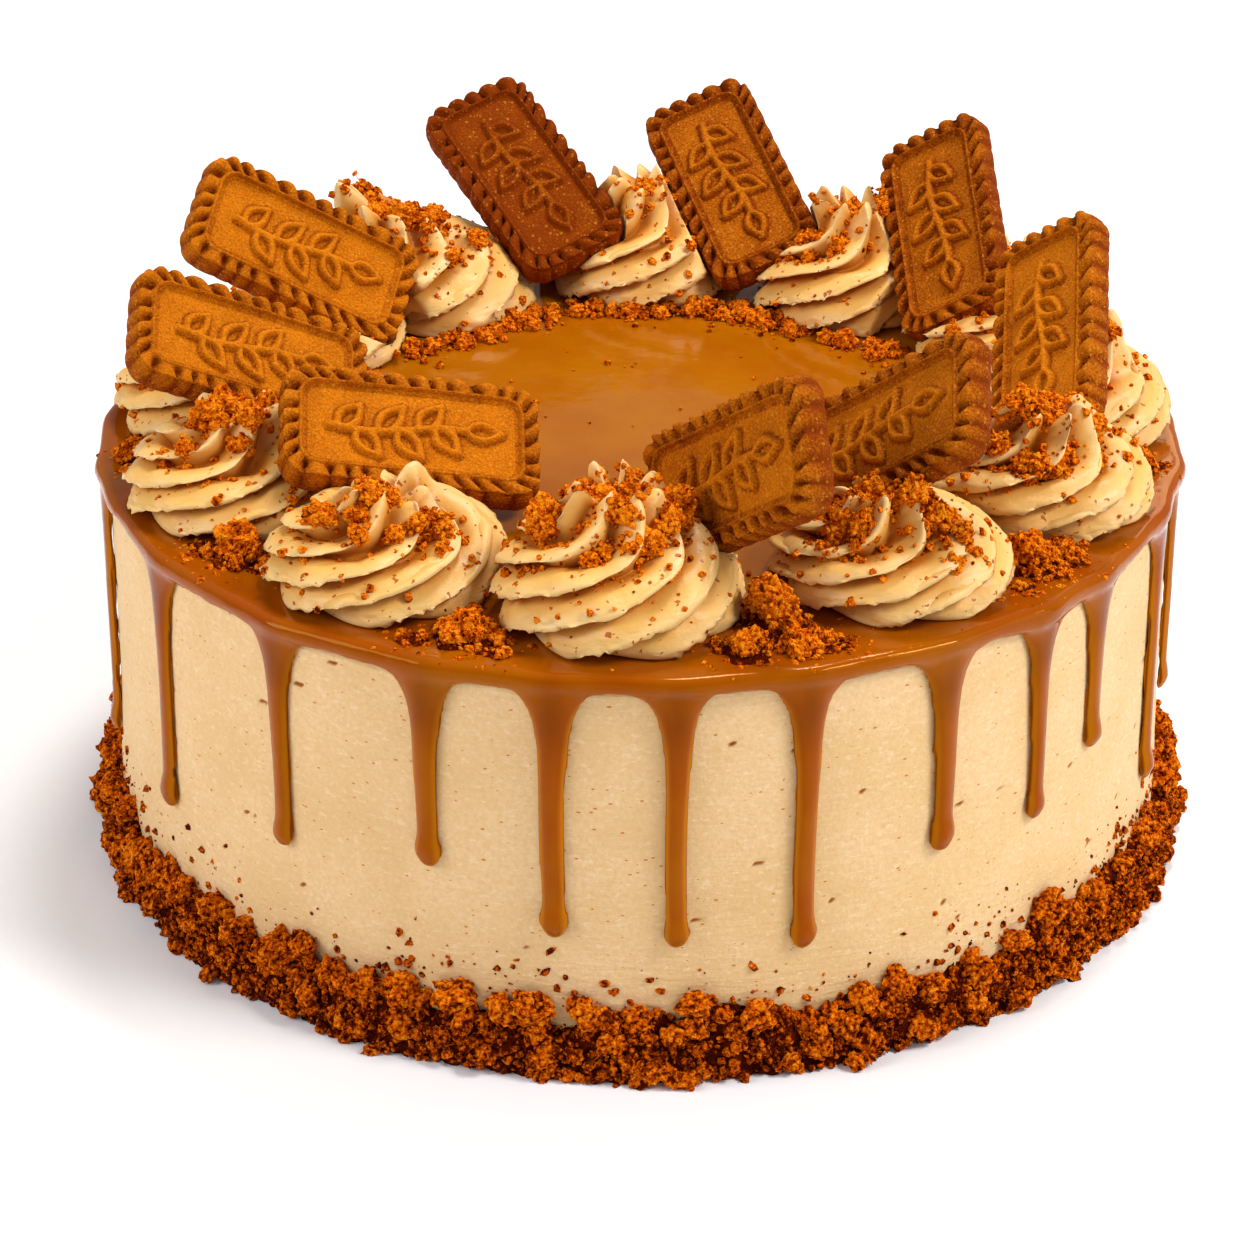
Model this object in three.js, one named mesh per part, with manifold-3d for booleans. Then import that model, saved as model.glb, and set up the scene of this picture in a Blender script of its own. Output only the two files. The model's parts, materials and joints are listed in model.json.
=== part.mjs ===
// A ten inch celebration cake: a tall round cake coated in biscuit-coloured buttercream, a sheet of
// caramel poured over the top that runs down the side in drips, twelve piped swirls round the edge,
// nine oblong ginger biscuits stood in the cream between them, and biscuit crumbs round the foot.
// Millimetres, +Z up, origin at the middle of the underside. Angles go round from the front (-Y)
// towards +X.
import * as THREE from "three";
import { mergeVertices } from "three/addons/utils/BufferGeometryUtils.js";
import Module from "manifold-3d";

const wasm = await Module();
wasm.setup();

// Driving dimensions
const TOP = 96.4; // height of the caramel's flat top
const CAKE_TOP = 93.2; // height of the coated cake under it
const FOOT_R = 129; // the coat flares a little towards the foot
const WAIST_R = 126.9; // its radius at WAIST_Z, above the crumbs
const WAIST_Z = 36;
const SIDE_R = 125.7; // its radius at SIDE_Z, just under the caramel
const SIDE_Z = 90;
const ROUND = 60; // flats round the cake
const GAP = 0.35; // air between two pieces that touch

const RIM_R = 128.3; // the caramel's bulging rim
const RIM_LOW = 91.8; // lower edge of the rim between two drips
const DRIP_DEPTH = 2.1; // how far a drip stands off the side
const DRIP_W = 5.4; // width of a drip's stem

const BISCUIT = { length: 59, width: 30.5, thick: 8, corner: 6.5, scallops: 22, notch: 0.9 };
const PANEL = { length: 49.5, width: 21.5, corner: 4.5, depth: 1.5 };

const CRUMB_R = 135; // outer radius of the ring of crumbs at the foot
const CRUMB_H = 16; // height of the packed part of that ring
const CRUMB_LUMPS = 48;

const COLOUR = { coat: 0xe9cb9a, cream: 0xf0d6a8, caramel: 0xb46a1e, biscuit: 0xb06a26, crumb: 0xb5651d };

// Each drip: angle round the cake in degrees and the height of its lower end.
const DRIPS = [
  [-79.3, 25], [-56.7, 31.5], [-37.5, 39.6], [-20.6, 46.2], [-8.1, 32.6], [3.7, 30.7], [16.2, 28.1],
  [31, 44.7], [43.3, 42.4], [52.8, 51.5], [68.8, 25.5], [80.5, 36.2], [93, 47], [106.5, 29],
  [119, 41], [133, 33], [146.5, 52], [160, 38], [173, 27], [187, 44], [200.5, 31], [214, 50],
  [227.5, 36], [241, 26.5], [254, 43], [268, 34],
];

// Each swirl: angle, distance of its middle from the axis, radius, height, turn of its first ridge,
// and how far its peak leans in X and Y.
const SWIRLS = [
  [-2.8, 96, 27.2, 31, 0, 0, 0], [-34.2, 97, 27.3, 24, 15, 0, -1], [-66.2, 98, 28, 23.5, 34, 0, 1],
  [-94, 99.5, 26.8, 25, 8, -2, 0], [-119.5, 97, 26, 21.5, 25, -1, 2], [-144, 95.2, 29.5, 31, 40, -12, -3],
  [180, 94.5, 26.8, 30, 12, 0, 0], [144.6, 95, 26.6, 30, 30, 0, 0], [118.5, 104, 25.5, 26, 3, 5, 3],
  [91.5, 99.5, 27, 26, 20, 3, 2], [65.6, 98, 27.2, 27, 38, 1, -6], [34.5, 96.5, 27, 25, 10, -3, -6],
];
const RIDGES = 8; // ridges left by the piping tube
const RIDGE_CUT = 0.17; // depth of the grooves between them, as a share of the radius
const TWIST = 26; // degrees that the ridges turn from one level to the next
// Outline of a swirl: share of the radius and share of the height, from the foot to the peak.
const SWIRL_OUTLINE = [
  [0, 0], [0.93, 0], [1, 0.17], [0.93, 0.37], [0.74, 0.56], [0.5, 0.74], [0.27, 0.9], [0, 1],
];

// Each biscuit: middle, direction of its length, direction across its width (both on its face).
const BISCUITS = [
  [[-30.5, 94.3, 123.5], [0.532, -0.684, -0.499], [0.846, 0.448, 0.288]],
  [[23.8, 96.1, 121.8], [0.353, -0.785, -0.509], [0.909, 0.158, 0.386]],
  [[77, 62.4, 122.6], [0.073, -0.834, -0.547], [0.783, -0.292, 0.549]],
  [[95.6, -7.3, 122.6], [-0.082, -0.837, -0.541], [0.677, -0.446, 0.586]],
  [[53, -69.6, 124.6], [0.629, -0.491, 0.603], [0.045, 0.798, 0.601]],
  [[20.2, -89.8, 124.9], [0.535, -0.63, 0.563], [-0.093, 0.618, 0.781]],
  [[-51.2, -48.1, 114], [0.969, 0.166, -0.184], [-0.051, 0.86, 0.508]],
  [[-90.9, -13.2, 119], [0.857, 0.296, -0.422], [-0.03, 0.846, 0.533]],
  [[-84.1, 44.4, 122], [0.852, 0.146, -0.503], [0.224, 0.767, 0.602]],
];

// Swirls that stand in front of a biscuit's face: [biscuit, swirl]. Elsewhere the cream was pushed
// aside above the face.
const CREAM_IN_FRONT = [[3, 9], [4, 11], [5, 12], [6, 1], [7, 2], [8, 3]];

let seed = 7;
function random() {
  seed = (seed * 16807) % 2147483647;
  return seed / 2147483647;
}
const between = (low, high) => low + (high - low) * random();

// The point at an angle from the front, a distance from the axis and a height.
function around(degrees, radius, height) {
  const a = THREE.MathUtils.degToRad(degrees);
  return new THREE.Vector3(radius * Math.sin(a), -radius * Math.cos(a), height);
}

// Radius of the coated side at a height.
function sideRadius(z) {
  if (z < WAIST_Z) return THREE.MathUtils.lerp(FOOT_R, WAIST_R, z / WAIST_Z);
  return THREE.MathUtils.lerp(WAIST_R, SIDE_R, Math.min(1, (z - WAIST_Z) / (SIDE_Z - WAIST_Z)));
}

// A closed geometry as a solid, and back again.
function solid(geometry, matrix = new THREE.Matrix4()) {
  const bare = geometry.clone();
  bare.deleteAttribute("normal");
  bare.deleteAttribute("uv");
  bare.applyMatrix4(matrix);
  const merged = mergeVertices(bare, 1e-3);
  return new wasm.Manifold(
    new wasm.Mesh({
      numProp: 3,
      vertProperties: new Float32Array(merged.attributes.position.array),
      triVerts: new Uint32Array(merged.index.array),
    }),
  );
}

function geometryOf(body) {
  const mesh = body.getMesh();
  const geometry = new THREE.BufferGeometry();
  geometry.setAttribute("position", new THREE.BufferAttribute(new Float32Array(mesh.vertProperties), 3));
  geometry.setIndex(new THREE.BufferAttribute(new Uint32Array(mesh.triVerts), 1));
  geometry.computeVertexNormals();
  return geometry;
}

// The largest piece of a solid, without the loose scraps that a cut leaves.
function largest(body) {
  const pieces = body.decompose();
  return pieces.reduce((best, piece) => (piece.volume() > best.volume() ? piece : best));
}

// A profile of [radius, height] pairs turned round the axis.
function turned(profile, flats) {
  const points = profile.map(([r, z]) => new THREE.Vector2(r, z));
  return new THREE.LatheGeometry(points, flats).rotateX(Math.PI / 2);
}

function moveVertices(geometry, move) {
  const position = geometry.attributes.position;
  const p = new THREE.Vector3();
  for (let i = 0; i < position.count; i++) {
    p.fromBufferAttribute(position, i);
    move(p);
    position.setXYZ(i, p.x, p.y, p.z);
  }
  return geometry;
}

// The coated cake: upright side that spreads slightly at the foot, and a softened top edge.
function cakeGeometry() {
  return turned(
    [[0, 0], [FOOT_R, 0], [WAIST_R, WAIST_Z], [SIDE_R, SIDE_Z], [SIDE_R - 1.3, CAKE_TOP - 0.2], [0, CAKE_TOP]],
    ROUND,
  );
}

// The poured sheet with its bulging rim. Its underside follows the cake.
function caramelSheet() {
  return turned(
    [
      [0, CAKE_TOP + GAP], [SIDE_R - 1.2, CAKE_TOP + GAP - 0.15], [SIDE_R + GAP, RIM_LOW - 0.6],
      [RIM_R - 1, RIM_LOW - 0.6], [RIM_R, RIM_LOW + 1.2], [RIM_R - 0.9, TOP - 1.1], [RIM_R - 4, TOP], [0, TOP],
    ],
    ROUND,
  );
}

// One drip: wide where it leaves the rim, a narrow stem and a rounded bead at its lower end.
function drip(degrees, end) {
  const stations = [
    [TOP - 2.6, 16, 0.75], [89.6, 10.2, 0.95], [84.5, 6.3, 1],
    [end + 5.2, DRIP_W, 1.05], [end + 2.3, DRIP_W + 0.9, 1.3], [end, 2.6, 0.75],
  ];
  const tube = new THREE.CylinderGeometry(1, 1, 1, 5, stations.length - 1);
  return moveVertices(tube, (p) => {
    const row = Math.round((0.5 - p.y) * (stations.length - 1));
    const [z, width, depth] = stations[row];
    const turn = Math.atan2(p.x, p.z) + Math.PI / 5;
    const middle = Math.hypot(p.x, p.z) < 0.5;
    const across = middle ? 0 : (Math.sin(turn) * width) / 2;
    const out = middle ? 0.5 : Math.max(0, Math.cos(turn));
    const radius = sideRadius(z) + GAP + 0.1 + out * depth * DRIP_DEPTH;
    p.copy(around(degrees + THREE.MathUtils.radToDeg(across / radius), radius, z));
  });
}

// One crumb: a small lump with uneven corners.
function crumb(size, place) {
  const lump = new THREE.IcosahedronGeometry(1, 0);
  const stretch = [between(0.8, 1.25), between(0.8, 1.2), between(0.75, 1.05)];
  const turn = new THREE.Euler(between(0, 6), between(0, 6), between(0, 6));
  return moveVertices(lump, (p) => {
    const bump = 1 + 0.2 * Math.sin(7 * p.x + 3 * p.y + 5 * p.z + size * 9);
    p.multiplyScalar(size * bump).applyEuler(turn);
    p.set(p.x * stretch[0], p.y * stretch[1], p.z * stretch[2]).add(place);
  });
}

// An oblong with rounded corners; notch > 0 gives it a scalloped edge.
function oblong({ length, width, corner, notch = 0 }, count) {
  const a = length / 2 - corner;
  const b = width / 2 - corner;
  const arc = (Math.PI / 2) * corner;
  const legs = [2 * b, arc, 2 * a, arc, 2 * b, arc, 2 * a, arc];
  const total = legs.reduce((sum, leg) => sum + leg, 0);
  const corners = [[a, b, 0], [-a, b, 90], [-a, -b, 180], [a, -b, 270]];
  const starts = [[a + corner, -b, 0, 1], [a, b + corner, -1, 0], [-a - corner, b, 0, -1], [-a, -b - corner, 1, 0]];
  const points = [];
  for (let i = 0; i < count; i++) {
    let s = (total * (i + 0.25)) / count;
    let leg = 0;
    while (s > legs[leg]) s -= legs[leg++];
    const side = leg >> 1;
    let x, y, nx, ny;
    if (leg % 2 === 0) {
      const [x0, y0, dx, dy] = starts[side];
      [x, y, nx, ny] = [x0 + dx * s, y0 + dy * s, dy, -dx];
    } else {
      const [cx, cy, from] = corners[side];
      const turn = THREE.MathUtils.degToRad(from) + s / corner;
      [nx, ny] = [Math.cos(turn), Math.sin(turn)];
      [x, y] = [cx + nx * corner, cy + ny * corner];
    }
    const inwards = i % 2 ? notch : 0;
    points.push(new THREE.Vector2(x - nx * inwards, y - ny * inwards));
  }
  return new THREE.Shape(points);
}

// A biscuit lying in its own frame: length along X, width along Y, face up.
function biscuitSolid() {
  const { length, width, thick, scallops } = BISCUIT;
  const slab = new THREE.ExtrudeGeometry(oblong(BISCUIT, 2 * scallops), {
    depth: thick, steps: 2, bevelEnabled: false,
  }).translate(0, 0, -thick / 2);
  moveVertices(slab, (p) => {
    const edge = Math.abs(p.z) > thick / 4 ? 1.1 : 0;
    p.x *= 1 - (2 * edge) / length;
    p.y *= 1 - (2 * edge) / width;
  });
  const recess = new THREE.ExtrudeGeometry(oblong(PANEL, 16), { depth: 4, bevelEnabled: false });
  recess.translate(0, 0, thick / 2 - PANEL.depth);
  moveVertices(recess, (p) => {
    const spread = p.z > thick / 2 ? 1.5 : 0;
    p.x *= 1 + spread / PANEL.length;
    p.y *= 1 + spread / PANEL.width;
  });
  return solid(slab).subtract(solid(recess));
}

function biscuitPlace([middle, along, across]) {
  const x = new THREE.Vector3(...along).normalize();
  const y = new THREE.Vector3(...across);
  y.addScaledVector(x, -x.dot(y)).normalize();
  return new THREE.Matrix4().makeBasis(x, y, x.clone().cross(y)).setPosition(...middle);
}

// The room that a biscuit takes up in the cream: a block round it with the air gap on every side
// and its corners cut off where the biscuit's are round. It can reach further above the face.
function biscuitRoom(place, above = 0) {
  const { length, width, thick, corner } = BISCUIT;
  const [a, b, cut] = [length / 2 + GAP, width / 2 + GAP, corner * 0.56];
  const outline = [];
  for (const [x, y] of [[1, 1], [-1, 1], [-1, -1], [1, -1]]) {
    const ends = [new THREE.Vector2(x * a, y * (b - cut)), new THREE.Vector2(x * (a - cut), y * b)];
    outline.push(...(x * y > 0 ? ends : ends.reverse()));
  }
  const block = new THREE.ExtrudeGeometry(new THREE.Shape(outline), {
    depth: thick + 2 * GAP + above, bevelEnabled: false,
  });
  return solid(block.translate(0, 0, -thick / 2 - GAP), place);
}

// One swirl in its own frame. Its ridges turn as they rise, and its sides are pressed flat where
// it meets the swirls on its left and right.
function swirlGeometry(index) {
  const [degrees, distance, radius, height, turn, leanX, leanY] = SWIRLS[index];
  const shape = turned(SWIRL_OUTLINE.map(([r, z]) => [r * radius, z * height]), 2 * RIDGES);
  const middle = around(degrees, distance, 0);
  const last = SWIRLS.length - 1;
  const borders = [SWIRLS[index === 0 ? last : index - 1], SWIRLS[index === last ? 0 : index + 1]].map(([other]) => {
    const away = THREE.MathUtils.euclideanModulo(other - degrees + 180, 360) - 180;
    const border = around(degrees + away / 2, 1, 0);
    return new THREE.Vector3(-border.y, border.x, 0).multiplyScalar(Math.sign(away));
  });
  return moveVertices(shape, (p) => {
    const r = Math.hypot(p.x, p.y);
    const level = SWIRL_OUTLINE.findIndex(([, z]) => Math.abs(z * height - p.z) < 0.01);
    const column = Math.round((Math.atan2(p.y, p.x) * RIDGES) / Math.PI + 2 * RIDGES);
    const groove = column % 2 ? 1 - RIDGE_CUT : 1;
    const at = (column * Math.PI) / RIDGES + THREE.MathUtils.degToRad(turn + TWIST * level);
    const rise = r > 1 && column % 2 === 0 && p.z > 0 ? 0.9 : 0;
    const share = Math.max(0, p.z / height) ** 1.3;
    p.set(r * groove * Math.cos(at) + leanX * share, r * groove * Math.sin(at) + leanY * share, p.z + rise);
    for (const normal of borders) {
      const over = p.dot(normal) + middle.dot(normal) + GAP / 2 + 0.05;
      if (over > 0) p.addScaledVector(normal, -over);
    }
  });
}

// Crumbs caught on a swirl, near its peak and down its right-hand side.
function swirlCrumbs(index) {
  const [, , radius, height, , leanX, leanY] = SWIRLS[index];
  return [[70, 0.16, 0.93], [5, 0.58, 0.62]].map(([from, out, up]) => {
    const at = THREE.MathUtils.degToRad(from + between(-35, 35));
    const place = new THREE.Vector3(Math.cos(at), Math.sin(at), 0).multiplyScalar(out * radius);
    place.add(new THREE.Vector3(leanX * up, leanY * up, up * height));
    return crumb(between(2.4, 3.4), place);
  });
}

const material = (color, roughness) => new THREE.MeshStandardMaterial({ color, roughness, metalness: 0 });
const materials = {
  coat: material(COLOUR.coat, 0.55),
  cream: material(COLOUR.cream, 0.5),
  caramel: material(COLOUR.caramel, 0.22),
  biscuit: material(COLOUR.biscuit, 0.75),
  crumb: material(COLOUR.crumb, 0.85),
};

const cake = new THREE.Group();

function add(name, geometry, look) {
  const mesh = new THREE.Mesh(geometry, look);
  mesh.name = name;
  cake.add(mesh);
  return mesh;
}

add("coated_cake", cakeGeometry(), materials.coat);

// Biscuits
const biscuitGeometry = geometryOf(biscuitSolid());
const places = BISCUITS.map(biscuitPlace);
places.forEach((place, i) => {
  const mesh = add(`biscuit_${i + 1}`, biscuitGeometry, materials.biscuit);
  place.decompose(mesh.position, mesh.quaternion, mesh.scale);
});

// Swirls, each cut to make room for the biscuits stood in it
const rooms = places.map((place) => biscuitRoom(place));
const clearRooms = places.map((place) => biscuitRoom(place, 30));
SWIRLS.forEach(([degrees, distance], i) => {
  const middle = around(degrees, distance, TOP + GAP);
  let body = solid(swirlGeometry(i));
  for (const lump of swirlCrumbs(i)) body = body.add(solid(lump));
  const reach = SWIRLS[i][2] + 4;
  places.forEach((place, n) => {
    const away = new THREE.Vector3().setFromMatrixPosition(place).sub(middle);
    if (Math.hypot(away.x, away.y) > reach + BISCUIT.length / 2) return;
    const covered = CREAM_IN_FRONT.some(([biscuit, swirl]) => biscuit === n + 1 && swirl === i + 1);
    const room = covered ? rooms[n] : clearRooms[n];
    body = body.subtract(room.translate([-middle.x, -middle.y, -middle.z]));
  });
  const mesh = add(`cream_swirl_${String(i + 1).padStart(2, "0")}`, geometryOf(largest(body)), materials.cream);
  mesh.position.copy(middle);
});

// Caramel with its drips, and the heaps of crumbs that lie on it between the swirls
let caramel = solid(caramelSheet());
for (const [degrees, end] of DRIPS) caramel = caramel.add(solid(drip(degrees, end)));
SWIRLS.forEach(([degrees], i) => {
  const next = SWIRLS[(i + 1) % SWIRLS.length][0];
  const away = THREE.MathUtils.euclideanModulo(next - degrees + 180, 360) - 180;
  const gap = degrees + away / 2;
  const heap = [[0.4, 118.2, 3.6], [i % 2 ? -3 : 2, 68.4, 2.7]];
  if (i % 2) heap.push([-2.6, 120.8, 2.3]);
  for (const [turn, radius, size] of heap)
    caramel = caramel.add(solid(crumb(size * between(0.85, 1.1), around(gap + turn, radius, TOP + size * 0.3))));
});
add("caramel_drip", geometryOf(largest(caramel)), materials.caramel);

// Ring of crumbs heaped against the foot of the cake. Its outer face is uneven.
const packed = turned(
  [
    [FOOT_R + GAP, 0], [CRUMB_R - 2, 0], [CRUMB_R - 2.2, 7], [CRUMB_R - 4, CRUMB_H - 2],
    [sideRadius(CRUMB_H) + GAP + 0.6, CRUMB_H], [FOOT_R + GAP, 0],
  ],
  ROUND,
);
moveVertices(packed, (p) => {
  const radius = Math.hypot(p.x, p.y);
  if (radius < CRUMB_R - 5 && p.z < CRUMB_H - 1) return;
  const column = Math.round((Math.atan2(p.y, p.x) / (2 * Math.PI)) * ROUND + ROUND) % ROUND;
  const wave = Math.sin(column * 2.4 + p.z * 1.7) + 0.6 * Math.sin(column * 5.1 + p.z);
  if (radius < CRUMB_R - 5) p.z += 0.8 * wave;
  else p.setX(p.x * (1 + (0.9 * wave) / radius)).setY(p.y * (1 + (0.9 * wave) / radius));
});
let border = solid(packed);
for (let i = 0; i < CRUMB_LUMPS; i++) {
  const degrees = (360 * (i + between(-0.3, 0.3))) / CRUMB_LUMPS;
  const level = [4, 16.5, 10, 18][i % 4] + between(-1, 1);
  const size = level > 14 ? between(2.3, 3.1) : between(3, 4);
  const radius = level > 14 ? FOOT_R + size * 0.9 : CRUMB_R - 0.2 - size * 0.55 - level * 0.14;
  border = border.add(solid(crumb(size, around(degrees, radius, Math.max(level, size * 1.3)))));
}
const wall = [[0, -1], [FOOT_R, -1], [FOOT_R, 0], [WAIST_R, WAIST_Z], [0, WAIST_Z]].map(([r, z]) => [r && r + GAP - 0.02, z]);
border = border.subtract(solid(turned(wall, ROUND)));
add("crumb_border", geometryOf(largest(border)), materials.crumb);

export default cake;
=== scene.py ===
import json
import math

import bmesh
import bpy
import numpy as np
from mathutils import Matrix, Vector
from mathutils import noise as noises
from mathutils.bvhtree import BVHTree

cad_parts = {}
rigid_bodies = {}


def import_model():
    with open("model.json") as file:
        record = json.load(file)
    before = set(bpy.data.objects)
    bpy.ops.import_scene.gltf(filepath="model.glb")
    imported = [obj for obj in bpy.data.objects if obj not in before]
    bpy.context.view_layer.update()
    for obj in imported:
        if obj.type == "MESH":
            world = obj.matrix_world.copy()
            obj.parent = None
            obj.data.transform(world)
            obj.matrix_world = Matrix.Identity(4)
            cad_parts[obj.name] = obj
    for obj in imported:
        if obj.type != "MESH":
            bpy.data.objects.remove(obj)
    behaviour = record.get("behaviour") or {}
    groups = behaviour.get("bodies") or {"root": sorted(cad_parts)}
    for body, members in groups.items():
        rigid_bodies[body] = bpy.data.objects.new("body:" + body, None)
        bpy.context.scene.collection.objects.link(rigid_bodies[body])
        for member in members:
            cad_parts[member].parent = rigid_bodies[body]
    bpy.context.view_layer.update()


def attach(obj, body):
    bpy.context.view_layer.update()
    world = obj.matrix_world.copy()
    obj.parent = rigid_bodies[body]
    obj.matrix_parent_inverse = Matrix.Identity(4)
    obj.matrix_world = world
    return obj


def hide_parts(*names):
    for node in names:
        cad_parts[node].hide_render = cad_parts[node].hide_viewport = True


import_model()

# The cake: layers of sponge coated all over with biscuit-coloured buttercream. The side was drawn
# smooth with a scraper, which leaves faint level lines, small torn slits, pin holes and tiny
# flecks of ground biscuit. Sizes are in millimetres, made metres in each piece's mesh.
MM = 0.001
CAKE_TOP = 93.2
SIDE = [(0, 129.0), (36, 126.9), (90, 125.7)]
SIDE_MEAN = 126
EDGE_START, EDGE_ROUND = 91.2, 1.3
LID_RADIUS = 118
COAT_COLUMNS = 600
SLITS = 120
COAT_LIGHT = (0.785, 0.54, 0.28)
COAT_DEEP = (0.725, 0.475, 0.22)
COAT_SHADE = (0.66, 0.385, 0.15)
COAT_STROKE = (0.86, 0.65, 0.40)
FLECK_BROWN = (0.52, 0.15, 0.002)
SLIT_SHADE = (0.30, 0.07, 0.001)


def side_radius(z):
    """How far the cake's side stands from the axis at a height."""
    heights, radii = zip(*SIDE)
    return np.interp(z, heights, radii)


def circle(count):
    """Evenly spaced directions all the way round, in degrees from the front."""
    return np.arange(count) * 360 / count


def around(degrees, radius, height):
    """Points at a distance from the axis, in directions from the front."""
    turn = np.radians(degrees)
    return np.stack([radius * np.sin(turn), -radius * np.cos(turn), height + 0 * turn], -1)


def turn_from(at, degrees):
    """How far round directions lie from a given one, between -180 and 180 degrees."""
    return (degrees - at + 180) % 360 - 180


def ring_faces(rows, columns, start=0):
    """Four-sided faces between closed rings of points."""
    row, column = np.meshgrid(np.arange(rows - 1), np.arange(columns), indexing="ij")
    beside = (column + 1) % columns
    low, high = row * columns, (row + 1) * columns
    faces = np.stack([low + column, low + beside, high + beside, high + column], -1)
    return (faces.reshape(-1, 4) + start).tolist()


def add(name, data):
    """A new object in the scene."""
    made = bpy.data.objects.new(name, data)
    bpy.context.scene.collection.objects.link(made)
    return made


def shade(mesh, smooth):
    """Makes all faces of a mesh smooth, or all flat."""
    mesh.polygons.foreach_set("use_smooth", [smooth] * len(mesh.polygons))


def mesh_piece(name, points, faces, finish):
    """A smooth mesh from points in millimetres, with its place in the mesh."""
    mesh = bpy.data.meshes.new(name)
    mesh.from_pydata((np.asarray(points, float) * MM).tolist(), [], faces)
    mesh.validate()
    mesh.materials.append(finish)
    shade(mesh, True)
    return add(name, mesh)


def carry(mesh, name, values):
    """Gives each point of a mesh a number, which a finish or a tree reads by its name."""
    layer = mesh.attributes.new(name, "FLOAT", "POINT").data
    layer.foreach_set("value", np.asarray(values, np.float32))


class Field:
    """A value that a node tree works out at each place, so that a sum on fields reads as a sum."""

    def __init__(self, tree, socket):
        self.tree = tree
        self.socket = socket

    def also(self, output):
        """Another output of the same node."""
        return Field(self.tree, self.socket.node.outputs[output])

    def __add__(self, other):
        return calc("ADD", self, other)

    def __sub__(self, other):
        return calc("SUBTRACT", self, other)

    def __rsub__(self, other):
        return calc("SUBTRACT", other, self)

    def __mul__(self, other):
        return calc("MULTIPLY", self, other)

    def __truediv__(self, other):
        return calc("DIVIDE", self, other)

    def __pow__(self, other):
        return calc("POWER", self, other)


def node(tree, kind, inputs=None, **settings):
    """A node with its settings; an input is a value or a field."""
    made = tree.nodes.new(kind)
    for name, value in settings.items():
        setattr(made, name, value)
    for name, value in (inputs or {}).items():
        if isinstance(value, Field):
            tree.links.new(value.socket, made.inputs[name])
        else:
            made.inputs[name].default_value = value
    return made


def field(tree, kind, inputs=None, output=0, **settings):
    """What a new node gives out."""
    return Field(tree, node(tree, kind, inputs, **settings).outputs[output])


def calc(operation, *values):
    """One sum on fields and numbers."""
    tree = next(value.tree for value in values if isinstance(value, Field))
    return field(tree, "ShaderNodeMath", dict(enumerate(values)), operation=operation)


def ramp(value, low, high):
    """0 below low, 1 above high, smooth between."""
    ends = {"Value": value, "From Min": low, "From Max": high}
    return field(value.tree, "ShaderNodeMapRange", ends, interpolation_type="SMOOTHSTEP")


def blend(share, first, second):
    """A colour between two others."""
    ends = [colour if isinstance(colour, Field) else (*colour, 1) for colour in (first, second)]
    return field(share.tree, "ShaderNodeMix", {0: share, 6: ends[0], 7: ends[1]}, 2, data_type="RGBA")


def noise(where, size_mm, detail=2.0, rough=0.5):
    """Soft noise whose lumps are about the given size."""
    inputs = {"Vector": where, "Scale": 1000 / size_mm, "Detail": detail, "Roughness": rough}
    return field(where.tree, "ShaderNodeTexNoise", inputs, "Fac")


def flecks(where, size_mm, share, radius):
    """1 in small scattered specks, 0 elsewhere."""
    cells = {"Vector": where, "Scale": 1000 / size_mm}
    away = field(where.tree, "ShaderNodeTexVoronoi", cells, "Distance")
    chance = field(where.tree, "ShaderNodeSeparateColor", {"Color": away.also("Color")})
    chosen = calc("LESS_THAN", chance, share)
    return chosen * calc("LESS_THAN", away, chance.also(1) * radius)


def flattened(where, by):
    """Places for a pattern that is drawn out sideways, as a scraper leaves it."""
    return field(where.tree, "ShaderNodeMapping", {"Vector": where, "Scale": (1, 1, by)})


def carried(where, name):
    """The number that the piece's points carry under a name."""
    return field(where.tree, "ShaderNodeAttribute", output="Fac", attribute_name=name)


def food_finish(name, **sockets):
    """A material, its shader with the given sockets set, and the places on the piece."""
    finish = bpy.data.materials.new(name)
    finish.use_nodes = True
    shader = finish.node_tree.nodes["Principled BSDF"]
    for socket, value in sockets.items():
        shader.inputs[socket.replace("_", " ")].default_value = value
    where = field(finish.node_tree, "ShaderNodeTexCoord", output="Object")
    return finish, shader, where


def dress(shader, tone, height, strength, depth):
    """Wires a finish's colour and bumps; the bumps' depth is in metres."""
    bump = field(tone.tree, "ShaderNodeBump", {"Height": height, "Strength": strength, "Distance": depth})
    tone.tree.links.new(tone.socket, shader.inputs["Base Color"])
    tone.tree.links.new(bump.socket, shader.inputs["Normal"])


coat_finish, shader, where = food_finish(
    "buttercream coat", Roughness=0.6, Subsurface_Weight=0.05, Subsurface_Scale=0.003,
    Subsurface_Radius=(1.0, 0.6, 0.3), Specular_IOR_Level=0.2, Specular_Tint=(1.0, 0.65, 0.3, 1),
)
tone = blend(ramp(noise(where, 22, 3), 0.3, 0.7), COAT_LIGHT, COAT_DEEP)
tone = blend(ramp(noise(where, 1.1, 3, 0.7), 0.3, 0.7) * 0.5, tone, COAT_SHADE)
drawn = flattened(where, 2.2)
tone = blend(ramp(noise(drawn, 2.4, 3, 0.7), 0.56, 0.66) * 0.4, tone, COAT_STROKE)
specks = calc("MAXIMUM", flecks(drawn, 3.3, 0.3, 0.17), flecks(drawn, 1.6, 0.09, 0.3))
tone = blend(specks * 0.9, tone, FLECK_BROWN)
# Painted shade: the deepest part of each deep slit is coloured dark brown.
tone = blend(ramp(carried(where, "slit_shade"), 0.15, 0.7), tone, SLIT_SHADE)
lines = noise(flattened(where, 7), 9, 4, 0.6)
dress(shader, tone, lines * 0.6 + noise(where, 0.8, 3) * 0.22, 0.5, 0.0014)

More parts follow.
